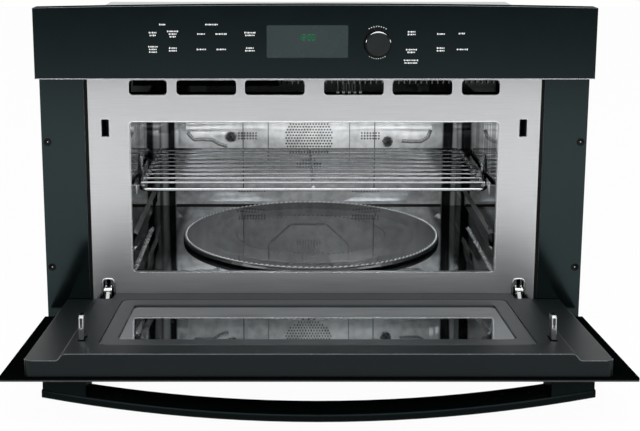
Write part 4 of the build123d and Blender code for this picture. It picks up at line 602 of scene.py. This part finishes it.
# Painted reflection: the side walls' base colour is near black.
side_polish_painted_reflection, parts, link, shader, where = finish(
    "side_mirror_painted_reflection", 30.0, (0.016, 0.018, 0.019), (0.030, 0.033, 0.035), 0.015, 0.03, metallic=1.0,
    relief=(10.0, (1, 1, 0.3), 0.10, 1.0 * mm))
height = coordinate(parts, link, where, "Z")
plain_below, streaks_above, rib_highlight_z, rib_highlight_reach = 196.0 * mm, 222.0 * mm, 131.8 * mm, 3.4 * mm
# Painted reflections: light vertical streaks on the upper part of the side walls.
streaked(parts, link, shader, where, (0, 75, 2), (0.02, 0.022, 0.024), (0.75, 0.77, 0.78),
         spread(parts, link, height, 0.0, 1.0, plain_below, streaks_above))
# Painted highlight: a bright band along the side walls' pressed rib.
from_rib_highlight = arithmetic(parts, link, "SUBTRACT", height, rib_highlight_z)
from_rib_highlight = arithmetic(parts, link, "ABSOLUTE", from_rib_highlight, 0.0)
streaked(parts, link, shader, where, (0, 12, 0), (0.55, 0.57, 0.58), (0.90, 0.92, 0.93),
         spread(parts, link, from_rib_highlight, 1.0, 0.0, rib_highlight_reach, rib_highlight_reach + 0.8 * mm))
back_polish_painted_reflection, parts, link, shader, where = finish(
    "back_mirror_painted_reflection", 11.0, (0.46, 0.48, 0.49), (0.93, 0.95, 0.96), 0.035, 0.09, metallic=0.66,
    relief=(9.0, (0.5, 1, 1.2), 0.3, 2.2 * mm))
# Painted reflection: the back wall turns dark and streaked beyond its side bends.
beside = arithmetic(parts, link, "ABSOLUTE", coordinate(parts, link, where, "X"), 0.0)
dark_bend_start, dark_bend_end = 230.0 * mm, 233.0 * mm
streaked(parts, link, shader, where, (90, 0, 2), (0.015, 0.017, 0.018), (0.45, 0.47, 0.48),
         spread(parts, link, beside, 0.0, 1.0, dark_bend_start, dark_bend_end))
dress(floor_polish_painted_reflection, "cavity_floor", "cavity_ceiling")
dress(back_polish_painted_reflection, "cavity_back_wall")
dress(side_polish_painted_reflection, "cavity_side_walls", "rack_guides")

# Floor joints: slender coved strips cover the joints of the cavity floor, bright steel along the sides and
# black against the back wall, where the black is painted shade in the corner.
cavity_half, cavity_back, cavity_floor_z = 256.5 * mm, 412.0 * mm, 101.6 * mm
side_joint_radius, back_joint_radius = 3.6 * mm, 2.6 * mm
side_joint_front, side_joint_back, back_reach = 8 * mm, 260 * mm, 231.0 * mm


def hollow_corner(radius, steps=8):
    """The profile of a cove: two legs along the axes and a quarter circle hollowed towards the corner."""
    turn = np.linspace(np.pi, 1.5 * np.pi, steps)
    arc = np.stack([radius + radius * np.cos(turn), radius + radius * np.sin(turn)], -1)
    return np.concatenate([[(0.0, 0.0)], arc])


floor_coves = []
for side in (-1, 1):
    cove = hollow_corner(side_joint_radius)
    ring = np.stack([side * (cavity_half - cove[:, 0]), 0 * cove[:, 0], cavity_floor_z + cove[:, 1]], -1)
    floor_coves.append(solid(ring + np.array([[[0, side_joint_front, 0]], [[0, side_joint_back, 0]]])))
add_piece("side_joints", "case", bright_lip, *floor_coves)
cove = hollow_corner(back_joint_radius)
ring = np.stack([0 * cove[:, 0], cavity_back - cove[:, 0], cavity_floor_z + cove[:, 1]], -1)
add_piece("back_joint_shade", "case", painted_shade_black,
          solid(ring + np.array([[[-back_reach, 0, 0]], [[back_reach, 0, 0]]])))

# Back wall trim: welded seams and the joint round the fan cover, drawn as black lines of painted shade, and
# the pressed shoulder ridges, in a grey darker than the sheet as painted shade. All of them stand only a
# little proud of the polished sheet.
emboss_y = 406.0 * mm
seam_x, seam_profile = 113.5 * mm, half_round(1.6 * mm, 0.7 * mm, 5)
seam_heights = np.array((130, 180, 240, 298)) * mm
seam_paths = [np.array([(side * seam_x, emboss_y, z) for z in seam_heights]) for side in (-1, 1)]
add_piece("back_seam_shade", "case", painted_shade_black,
          *[solid(carried(path, seam_profile, towards_front)) for path in seam_paths])


def smooth_line(points, steps):
    """A line through the given points at even steps of their length, rounded by a running mean."""
    points = np.array(points, float)
    reach = np.concatenate([[0], np.cumsum(np.linalg.norm(np.diff(points, axis=0), axis=1))])
    even = np.linspace(0, reach[-1], steps)
    line = np.stack([np.interp(even, reach, points[:, axis]) for axis in range(points.shape[1])], -1)
    line[1:-1] = (line[:-2] + 2 * line[1:-1] + line[2:]) / 4
    return line


cover_half, cover_foot, cover_corner_z, cover_bottom, cover_top = 69.5, 31.0, 180.0, 144.0, 300.1
cover_outline = [(-cover_half, cover_top), (-cover_half, cover_corner_z), (-cover_foot, cover_bottom),
                 (cover_foot, cover_bottom), (cover_half, cover_corner_z), (cover_half, cover_top)]
cover_line = on_front(smooth_line(cover_outline, 90) * mm, 0, emboss_y, 0)
add_piece("fan_cover_joint_shade", "case", painted_shade_black,
          solid(carried(cover_line, half_round(2.6 * mm, 1.2 * mm, 5), towards_front)))
dull_steel = coat("dull_steel", 240.0, (0.16, 0.17, 0.175), (0.36, 0.37, 0.38), 0.18, 0.38, metallic=1.0)
left_shoulder = [(-209.3, 233), (-206, 228), (-198, 219.6), (-184, 220.2), (-166, 219.2), (-155, 212.2),
                 (-141, 207.8)]
right_shoulder = [(210, 237), (205, 224), (193, 216.5), (175, 216.5), (160, 217.5)]
ridge_profile = half_round(6.2 * mm, 0.25 * mm, 9)
# Painted shade: the ridges' grey is darker than the polished sheet round them.
shoulder_painted_shade = coat("shoulder_painted_shade", 60.0, (0.26, 0.27, 0.275), (0.40, 0.41, 0.42), 0.12, 0.2,
                     metallic=0.8)
add_piece("shoulder_ridges", "case", shoulder_painted_shade,
          *[solid(carried(on_front(smooth_line(line, 40) * mm, 0, emboss_y, 0), ridge_profile, towards_front))
            for line in (left_shoulder, right_shoulder)])

# Hole shade: black boards behind the back wall's four small patches of air holes, painted shade that makes
# the holes look dark. Each is a thin board with rounded corners.
shade_board_front, shade_board_sheet, shade_board_corner = 409.4 * mm, 0.8 * mm, 3.0 * mm
shade_boards = []
for x, z, width, height in ((106.0, 226.5, 62.0, 34.0), (99.0, 131.0, 72.0, 26.0)):
    shade_board_outline = rounded_outline(width * mm, height * mm, shade_board_corner)
    for side in (-1, 1):
        flat = on_front(shade_board_outline, side * x * mm, shade_board_front, z * mm)
        shade_boards.append(solid(np.stack([flat, flat - towards_front * shade_board_sheet])))
add_piece("hole_shade_boards", "case", painted_shade_black, *shade_boards)

# Cover screws: two plated washer-head screws hold the back wall's cover, each with a black cross on its head
# as the painted shade of its cross recess. Their heads are turned shapes that stand on the wall.
screw_places = ((-134.4 * mm, 224.8 * mm), (135.5 * mm, 216.3 * mm))
head_profile = [(9.5, 0.0), (9.5, 0.7), (6.4, 0.9), (6.2, 2.0), (5.2, 3.0), (2.8, 3.5), (0.01, 3.6)]
head_profile = np.array([(0.01, 0.0)] + head_profile) * mm
add_piece("cover_screws", "case", dull_steel,
          *[turned(head_profile, (x, emboss_y, z), (0, -1, 0), 28) for x, z in screw_places])
add_piece("cover_screw_recess_shade", "case", painted_shade_black,
          *[cross_mark((x, emboss_y - 3.5 * mm, z), 3.4 * mm, 0.9 * mm, 0.25 * mm,
                       ((0.7, 0, 0.7), (-0.7, 0, 0.7), (0, -1, 0))) for x, z in screw_places])

# Side ports: a round pressed cover with a raised rim on each cavity side wall, of the wall's own
# polished sheet.
port_y, port_z = 118.0 * mm, 234.0 * mm
port_profile = np.array([(0.01, 0.0), (20.0, 0.0), (20.0, 0.9), (18.6, 1.8), (16.8, 1.9), (15.6, 1.2),
                         (8.0, 0.8), (0.01, 0.7)]) * mm
add_piece("side_ports", "case", side_polish_painted_reflection,
          *[turned(port_profile, (side * cavity_half, port_y, port_z), (-side, 0, 0), 40)
            for side in (-1, 1)])

# Rack: steel wires, welded where they cross, with ball ends on the frame. The whole rack is
# chrome-plated after welding.
chrome = coat("chrome_wire", 90.0, (0.44, 0.45, 0.46), (0.56, 0.57, 0.58), 0.03, 0.08, metallic=1.0)
dress(chrome, "wire_rack")

# Turntable tray: pressed clear glass, grey in its thickness, with a rope pattern pressed round its
# rim and round its inner well. Both ropes turn with the tray.
tray_glass = coat("tray_glass", 12.0, (0.030, 0.033, 0.035), (0.036, 0.039, 0.041), 0.05, 0.08,
                  sockets={"IOR": 1.6, "Transmission Weight": 0.35})
dress(tray_glass, "turntable_tray")
tray_centre = np.array((0.0, 207.0, 0.0)) * mm


def rope(radius, height, coil, thickness, turns, steps):
    """A strand coiled round a ring: at angle t the strand's middle lies coil metres off the ring, at angle
    turns * t round it, and a six-sided section follows the ring there."""
    angle = np.linspace(0, 2 * np.pi, steps, endpoint=False)[:, None]
    around = np.linspace(0, 2 * np.pi, 6, endpoint=False)[None, :]
    reach = radius + coil * np.cos(turns * angle) + thickness * np.cos(around)
    rise = height + coil * np.sin(turns * angle) + thickness * np.sin(around)
    points = np.stack([reach * np.cos(angle), reach * np.sin(angle), rise], -1)
    return solid(points + tray_centre, closed=True)


tray_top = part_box("turntable_tray")[1][2]
rim_rope_radius, well_rope_radius = 197.0 * mm, 117.0 * mm
# Painted glints: the rim rope's glass is far lighter than the tray's own glass.
rope_glass_painted_glint = coat("rope_glass_painted_glint", 60.0, (0.50, 0.53, 0.54), (0.66, 0.69, 0.70), 0.04, 0.08,
                  sockets={"IOR": 1.55, "Transmission Weight": 0.3})
add_piece("rim_rope", "turntable", rope_glass_painted_glint,
          rope(rim_rope_radius, tray_top + 0.2 * mm, 0.9 * mm, 0.75 * mm, 150, 2400))
skirt_profile = np.array([(198.6, 108.4), (199.9, 108.2), (200.9, 105.2), (200.3, 104.6),
                          (199.2, 106.6)]) * mm
skirt_turn = np.linspace(0, 2 * np.pi, 180, endpoint=False)[:, None]
skirt_radius, skirt_height = skirt_profile.T
skirt_rings = np.stack([skirt_radius * np.cos(skirt_turn), skirt_radius * np.sin(skirt_turn),
                        skirt_height + 0 * skirt_turn], -1) + tray_centre
add_piece("tray_skirt", "turntable", tray_glass, solid(skirt_rings, closed=True))
add_piece("well_rope", "turntable", tray_glass,
          rope(well_rope_radius, 106.0 * mm, 0.6 * mm, 0.5 * mm, 96, 1536))

# Moulded parts: black plastic for housings, pale heat-proof plastic for the parts under the tray.
# Both keep a fine grain from their moulds.
black_plastic = coat("dark_plastic", 20.0, (0.018, 0.018, 0.020), (0.030, 0.030, 0.032), 0.45, 0.6,
                     relief=(1800.0, (1, 1, 1), 0.4, 0.2 * mm), edge=0.6 * mm)
dress(black_plastic, "latch_switches", "dial_encoder", "conduit_bushing",
      "blower_housing", "blower_wheel")
pale_plastic = coat("heat_plastic", 30.0, (0.62, 0.60, 0.54), (0.70, 0.68, 0.62), 0.4, 0.55,
                    relief=(900.0, (1, 1, 1), 0.3, 0.2 * mm), edge=0.5 * mm)
dress(pale_plastic, "roller_ring", "roller_1", "roller_2", "roller_3", "turntable_coupler")

# Inner machinery: plain aluminium cans and fins, a lacquered winding, an oxidised heater tube,
# quartz lamps under their bright reflector.
can_metal = coat("motor_steel", 80.0, (0.50, 0.51, 0.52), (0.60, 0.61, 0.62), 0.30, 0.45, metallic=1.0,
                 edge=0.6 * mm)
dress(can_metal, "turntable_motor", "blower_motor", "magnetron", "choke_frame")
winding = coat("copper_winding", 20.0, (0.35, 0.16, 0.08), (0.60, 0.30, 0.16), 0.3, 0.4,
               relief=(1.0, (20, 20, 900), 0.5, 0.5 * mm))
dress(winding, "power_transformer")
sheath = coat("heater_sheath", 160.0, (0.06, 0.05, 0.045), (0.14, 0.12, 0.10), 0.5, 0.6)
dress(sheath, "convection_heater")
quartz = coat("lamp_quartz", 300.0, (0.80, 0.79, 0.74), (0.88, 0.87, 0.82), 0.15, 0.3)
dress(quartz, "halogen_lamps")
reflector = coat("reflector_bright", 60.0, (0.76, 0.77, 0.77), (0.84, 0.85, 0.85), 0.14, 0.22, metallic=1.0,
                 relief=(250.0, (1, 1, 1), 0.4, 0.5 * mm))
dress(reflector, "lamp_reflector")

# Control panel: a bowed black gloss sheet in front of its moulded housing, with a smoked display
# pane set flush in it and a bright hem along its lower edge.
panel_gloss = coat("panel_gloss", 4.0, (0.0006, 0.0016, 0.0018), (0.0012, 0.0026, 0.0028), 0.12, 0.18,
                   specular=0.42, edge=1.2 * mm, sockets={"Specular Tint": (*enamel_tint, 1)})
dress(panel_gloss, "control_face")
smoked = coat("display_dark", 8.0, (0.026, 0.039, 0.040), (0.029, 0.042, 0.043), 0.2, 0.3, specular=0.3)
dress(smoked, "display_pane")
housing_matt = coat("housing_matt", 20.0, (0.007, 0.010, 0.011), (0.010, 0.013, 0.014), 0.9, 1.0,
                    specular=0.0)
dress(housing_matt, "control_housing")
panel_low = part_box("control_face")[0]
panel_y = panel_low[1]
hem_half, hem_y, hem_z = 377.0 * mm, panel_y + 0.1 * mm, panel_low[2] + 0.3 * mm
hem_path = np.array([(x, hem_y, hem_z) for x in np.linspace(-hem_half, hem_half, 5)])
add_piece("panel_hem", "case", bright_lip,
          solid(carried(hem_path, half_round(0.9 * mm, 0.35 * mm, 5), towards_front)))

# Key marks: rows of short white bars where the panel is touched, without any words. They are
# printed on the gloss in a thin ink.
bar_rise = 0.12 * mm


def printed_bar(x, z, width, height):
    """A short printed bar on the panel: a rounded outline of ink with a little thickness."""
    loop = on_front(rounded_outline(width, height, height * 0.3, 3), x, panel_y + 0.02 * mm, z)
    return solid(np.stack([loop, loop + towards_front * bar_rise]))


key_places = [(-217.6, 447.3, (5, 4)), (-190.8, 447.3, (7, 5, 4)), (-152.6, 447.3, (5,)),
              (-125.9, 447.3, (7,)), (-87.3, 447.3, (7, 6)), (-217.6, 426.6, (6, 5, 5)),
              (-190.8, 426.6, (5, 5)), (-152.6, 426.6, (6,)), (-125.9, 426.6, (6,)),
              (-87.3, 426.6, (5, 6)), (129.5, 448.5, (5, 5)), (168.8, 447.3, (5,)),
              (196.7, 448.0, (4,)), (129.5, 424.5, (7, 5)), (129.2, 410.1, (9, 8)),
              (168.8, 426.6, (5, 5)), (197.9, 426.6, (7,)), (-204.5, 460.0, (4,)), (-138.4, 460.0, (8,))]
bar_pitch, line_pitch = 2.2, 3.6
bars = [printed_bar((x + (column - (count - 1) / 2) * bar_pitch) * mm,
                    (z + ((len(lines) - 1) / 2 - row) * line_pitch) * mm,
                    (1.6 - 0.4 * (column % 3 == 1)) * mm, (2.3 - 0.7 * (column % 2)) * mm)
        for x, z, lines in key_places for row, count in enumerate(lines) for column in range(count)]
add_piece("key_marks", "case", white_print_and_painted_glint, *bars)

# Clock figures: dim green seven-segment digits that show in the smoked pane. Each stroke is a
# small lit bar.
digit_green = coat("digit_green", 300.0, (0.010, 0.060, 0.025), (0.016, 0.090, 0.038), 0.4, 0.5,
                   sockets={"Emission Color": (0.08, 0.75, 0.30, 1), "Emission Strength": 0.17})
segments = {"a": (0, 2, 1), "b": (1, 1, 0), "c": (1, -1, 0), "d": (0, -2, 1), "e": (-1, -1, 0),
            "f": (-1, 1, 0), "g": (0, 0, 1)}
shapes = {"1": "bc", "2": "abdeg", "0": "abcdef"}
figures = "1200"
digit_half, digit_step, digit_x, digit_z = 1.8, 5.4, -11.2, 442.8
strokes = []
for place, figure in enumerate(figures):
    middle = digit_x + (place - 1.5) * digit_step + (0.8 if place > 1 else -0.8)
    for part in shapes[figure]:
        across, up, flat = segments[part]
        width, height = (2 * digit_half, 0.7) if flat else (0.7, 2 * digit_half)
        x, z = middle + across * digit_half, digit_z + up * digit_half
        strokes.append(printed_bar(x * mm, z * mm, width * mm, height * mm))
strokes += [printed_bar(digit_x * mm, (digit_z + shift) * mm, 0.8 * mm, 0.8 * mm) for shift in (-1.4, 1.4)]
add_piece("clock_figures", "case", digit_green, *strokes)

# Dial: a turned satin cap on its stem, with a dark shadow ring, printed ticks round it and white arcs on its
# skirt as painted glints.
dial_satin = coat("dial_satin", 60.0, (0.005, 0.007, 0.008), (0.008, 0.011, 0.012), 0.30, 0.40,
                  specular=0.35, edge=0.8 * mm)
dress(dial_satin, "dial")
dial_x, dial_z = 83.8 * mm, 435.0 * mm
ring_profile = np.array([(17.7, -0.1), (17.7, 0.6), (18.4, 0.8), (19.0, 0.35), (19.1, -0.1)]) * mm
ring_turn = np.linspace(0, 2 * np.pi, 64, endpoint=False)


def front_ring(profile, x, y, z):
    """A ring round an axis towards the front, its closed profile given as radius and forward height."""
    radius, out = profile.T
    return solid(np.stack([x + np.cos(ring_turn)[:, None] * radius, y - out + 0 * ring_turn[:, None],
                           z + np.sin(ring_turn)[:, None] * radius], -1), closed=True)


dial_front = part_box("dial")[0][1]
add_piece("dial_shadow_ring", "case", black_trim_and_painted_shade, front_ring(ring_profile, dial_x, panel_y, dial_z))
rim_profile = np.array([(15.4, -1.2), (15.4, 0.1), (16.4, 0.25), (17.3, -0.3), (17.75, -1.6),
                        (17.6, -5.0)]) * mm
add_piece("dial_rim", "knob", black_trim_and_painted_shade, front_ring(rim_profile, dial_x, dial_front, dial_z))


def arc_bead(radius, first, last, width, rise):
    """A thin bead laid along an arc of the dial's rim, tapered to both ends."""
    steps, blunt = 24, 0.12
    turn = np.radians(np.linspace(first, last, steps))
    path = np.stack([dial_x + radius * np.cos(turn), np.full(steps, dial_front - 0.2 * mm),
                     dial_z + radius * np.sin(turn)], -1)
    taper = np.sin(np.linspace(blunt, np.pi - blunt, steps))[:, None, None]
    rings = carried(path, half_round(width, rise), towards_front)
    return solid(path[:, None] + (rings - path[:, None]) * taper)


# Painted glints: white arcs on the dial's rim.
add_piece("dial_painted_glints", "knob", white_print_and_painted_glint, arc_bead(16.6 * mm, 50, 130, 1.7 * mm, 0.3 * mm),
          arc_bead(16.6 * mm, 8, 24, 0.9 * mm, 0.2 * mm), arc_bead(16.6 * mm, 156, 172, 0.9 * mm, 0.2 * mm))
tick_width, tick_height = 1.2 * mm, 1.5 * mm
ticks = [printed_bar(dial_x + reach * np.cos(turn), dial_z + reach * np.sin(turn), tick_width, tick_height)
         for reach, first, last in ((22.4 * mm, 60, 120), (20.9 * mm, 240, 300))
         for turn in np.radians(np.linspace(first, last, 8))]
add_piece("dial_ticks", "case", white_print_and_painted_glint, *ticks)

# Control board: a green lacquered circuit board on its posts behind the panel. Lighter copper
# tracks show through the lacquer.
board, parts, link, shader, where = finish("board_green", 40.0, (0.03, 0.12, 0.06), (0.04, 0.15, 0.07),
                                           0.35, 0.45)
tracks = parts.new("ShaderNodeTexBrick")
tracks.inputs["Scale"].default_value = 90.0
tracks.inputs["Color1"].default_value = (0.03, 0.12, 0.06, 1)
tracks.inputs["Color2"].default_value = (0.04, 0.15, 0.07, 1)
tracks.inputs["Mortar"].default_value = (0.07, 0.22, 0.10, 1)
link(where, tracks.inputs["Vector"])
link(tracks.outputs["Color"], shader.inputs["Base Color"])
dress(board, "control_board")

# Door liner and window frame: satin black enamel on the pressed inner shell, with soft pressed
# edges that catch the light.
liner_paint = coat("liner_enamel", 5.0, (0.0028, 0.0043, 0.0048), (0.0032, 0.0049, 0.0054), 0.42, 0.45,
                   specular=0.23, relief=(1200.0, (1, 1, 1), 0.25, 0.1 * mm), edge=2.2 * mm,
                   sockets={"Specular Tint": (0.82, 0.95, 1.0, 1)})
dress(liner_paint, "door_liner")
frame_paint = coat("frame_enamel", 5.0, (0.018, 0.022, 0.024), (0.020, 0.024, 0.026), 0.38, 0.41,
                   relief=(1200.0, (1, 1, 1), 0.25, 0.1 * mm), edge=1.5 * mm)
dress(frame_paint, "window_frame")

# Door glass: a dark pane with a thin mirror coating inside, an outer pane and a metal screen
# between them.
pane = coat("mirror_glass", 3.0, (0.30, 0.32, 0.33), (0.36, 0.38, 0.39), 0.015, 0.035, metallic=1.0)
dress(pane, "window_pane")
outer_pane = coat("dark_glass", 3.0, (0.004, 0.005, 0.005), (0.007, 0.008, 0.008), 0.02, 0.05)
dress(outer_pane, "door_outer_pane")
screen_metal, parts, link, shader, where = finish(
    "screen_dark", 40.0, (0.005, 0.005, 0.005), (0.010, 0.010, 0.010), 0.45, 0.55)
holes = parts.new("ShaderNodeTexVoronoi")
holes.inputs["Scale"].default_value = 600.0
link(where, holes.inputs["Vector"])
pierced = two_tone(parts, link, holes.outputs["Distance"], (0.005, 0.005, 0.005), (0.05, 0.05, 0.05))
link(pierced, shader.inputs["Base Color"])
dress(screen_metal, "window_screen")

# Door skin, handle bar and posts: the same black enamel. It is glossy on the skin's outer face,
# left thin and dull on its inner face, and a little softer on the handle.
swing = np.radians(85.7)
pin = np.array((0.0, 1.0, 78.1)) * mm
skin_paint, parts, link, shader, where = finish(
    "skin_enamel", 5.0, (0.0010, 0.0016, 0.0017), (0.0012, 0.0018, 0.0019), 0.45, 0.6, specular=0.0,
    edge=0.6 * mm)
through = parts.new("ShaderNodeVectorMath")
through.operation = "DOT_PRODUCT"
through.inputs[1].default_value = (0, -np.cos(swing), -np.sin(swing))
link(where, through.inputs[0])
pin_through = -pin[1] * np.cos(swing) - pin[2] * np.sin(swing)
gloss_from = 33.7 * mm
outside = arithmetic(parts, link, "GREATER_THAN", through.outputs["Value"], float(pin_through + gloss_from))
link(outside, shader.inputs["Coat Weight"])
shader.inputs["Coat Roughness"].default_value = 0.1
dress(skin_paint, "door_skin")
handle_paint = coat("handle_enamel", 5.0, (0.0008, 0.0014, 0.0015), (0.0014, 0.0022, 0.0023), 0.20, 0.28,
                    specular=0.07, edge=1.0 * mm, sockets={"Specular Tint": (*enamel_tint, 1)})
dress(handle_paint, "handle_bar", "handle_posts")

# Skin trim: thin light steel lines on the door skin's cut edges along the open door's upper edge are painted
# highlights.


def on_door(x, along, out):
    """A place on the open door: x across, along from the pins to the door's top, out through its thickness.
    Y = pin - along sin a - out cos a and Z = pin + along cos a - out sin a, with a the opening angle."""
    x, along, out = np.broadcast_arrays(x, along, out)
    return np.stack([x, pin[1] - along * np.sin(swing) - out * np.cos(swing),
                     pin[2] + along * np.cos(swing) - out * np.sin(swing)], -1)


door_up = np.array((0.0, -np.sin(swing), np.cos(swing)))
door_inwards = np.array((0.0, np.cos(swing), np.sin(swing)))
edge_steel_painted_highlight = coat("edge_steel_painted_highlight", 50.0, (0.10, 0.105, 0.11), (0.16, 0.165, 0.17), 0.25, 0.4, metallic=1.0)
skin_half, skin_along, skin_inner, skin_outer = 378.0 * mm, 305.2 * mm, 31.1 * mm, 34.1 * mm
hem_depth, hem_half = 1.9 * mm, skin_half - 0.2 * mm
hem_loop = rounded_outline(4.2 * mm, 2 * hem_depth, 0.7 * mm, 4)
hem_path = on_door(np.linspace(-hem_half, hem_half, 9), skin_along - 2.3 * mm, skin_outer)
add_piece("skin_hem", "door", skin_paint, solid(carried(hem_path, hem_loop, door_inwards)))
edge_highlights = []
for out in (skin_inner + 0.4 * mm, skin_outer + hem_depth - 0.5 * mm):
    path = on_door(np.linspace(-skin_half + mm, skin_half - mm, 5), skin_along - 0.25 * mm, out)
    edge_highlights.append(solid(carried(path, half_round(0.6 * mm, 0.2 * mm, 5), door_up)))
add_piece("skin_edge_highlights", "door", edge_steel_painted_highlight, *edge_highlights)

# Liner bead: the pressed edge between the liner's inner side and its upper wall is rolled over, and its roll
# is coloured a much lighter enamel than the liner, a painted highlight all the way across.
liner_top, plateau_out, band_out = 302.0 * mm, 3.0 * mm, 11.1 * mm
plateau_half, band_start, liner_half, liner_corner = 302.8 * mm, 308.2 * mm, 348.7 * mm, 8.0 * mm
turn = np.linspace(0, np.pi / 2, 7)
corner_x = liner_half - liner_corner + liner_corner * np.cos(turn)
corner_along = liner_top - liner_corner + liner_corner * np.sin(turn)
half_x = np.concatenate([corner_x, [315 * mm, band_start, 305.5 * mm, plateau_half, 296 * mm]])
half_along = np.concatenate([corner_along, np.full(5, liner_top)])
half_out = np.concatenate([np.full(7, band_out), [band_out, band_out, 7 * mm, plateau_out, plateau_out]])
across_x = np.concatenate([-half_x, half_x[::-1]])
along = np.concatenate([half_along, half_along[::-1]])
out = np.concatenate([half_out, half_out[::-1]])
bead_path = smooth_line(on_door(across_x, along - 0.35 * mm, out + 0.35 * mm), 240)
liner_bead_painted_highlight = coat("bead_painted_highlight", 30.0, (0.050, 0.056, 0.060), (0.080, 0.088, 0.093), 0.2, 0.3)
add_piece("liner_bead_highlight", "door", liner_bead_painted_highlight,
          solid(carried(bead_path, half_round(1.3 * mm, 0.5 * mm), door_up + door_inwards)))

# Hardware: bright plated steel for the stamped hooks and hinge parts, and for the dial's turned
# stem.
bright = coat("bright_steel", 120.0, (0.50, 0.51, 0.51), (0.66, 0.67, 0.67), 0.06, 0.14, metallic=1.0,
              edge=0.5 * mm)
dress(bright, "hinge_brackets", "hinge_pins", "hinge_arms", "latch_hook_left", "latch_hook_right",
      "dial_stem")

# Hinge arch frames: a chromed staple-shaped bead stands round each hinge arch on the face frame.
# Its two legs run down beside the hinge arm.
arch_x, arch_half, arch_top, arch_foot, arch_corner = 291.0, 8.0, 97.0, 72.0, 5.0
arch_left = [(-arch_half, arch_foot), (-arch_half, arch_top - arch_corner),
             (-arch_half * 0.8, arch_top - 0.9)]
arch_line = arch_left + [(0, arch_top)] + [(-x, z) for x, z in reversed(arch_left)]
arch_profile = half_round(2.4 * mm, 1.3 * mm, 9)
arches = [solid(carried(on_front(smooth_line(arch_line, 50) * mm, side * arch_x * mm, face_y + 0.2 * mm, 0),
                        arch_profile, towards_front)) for side in (-1, 1)]
add_piece("hinge_arch_frames", "case", chrome, *arches)
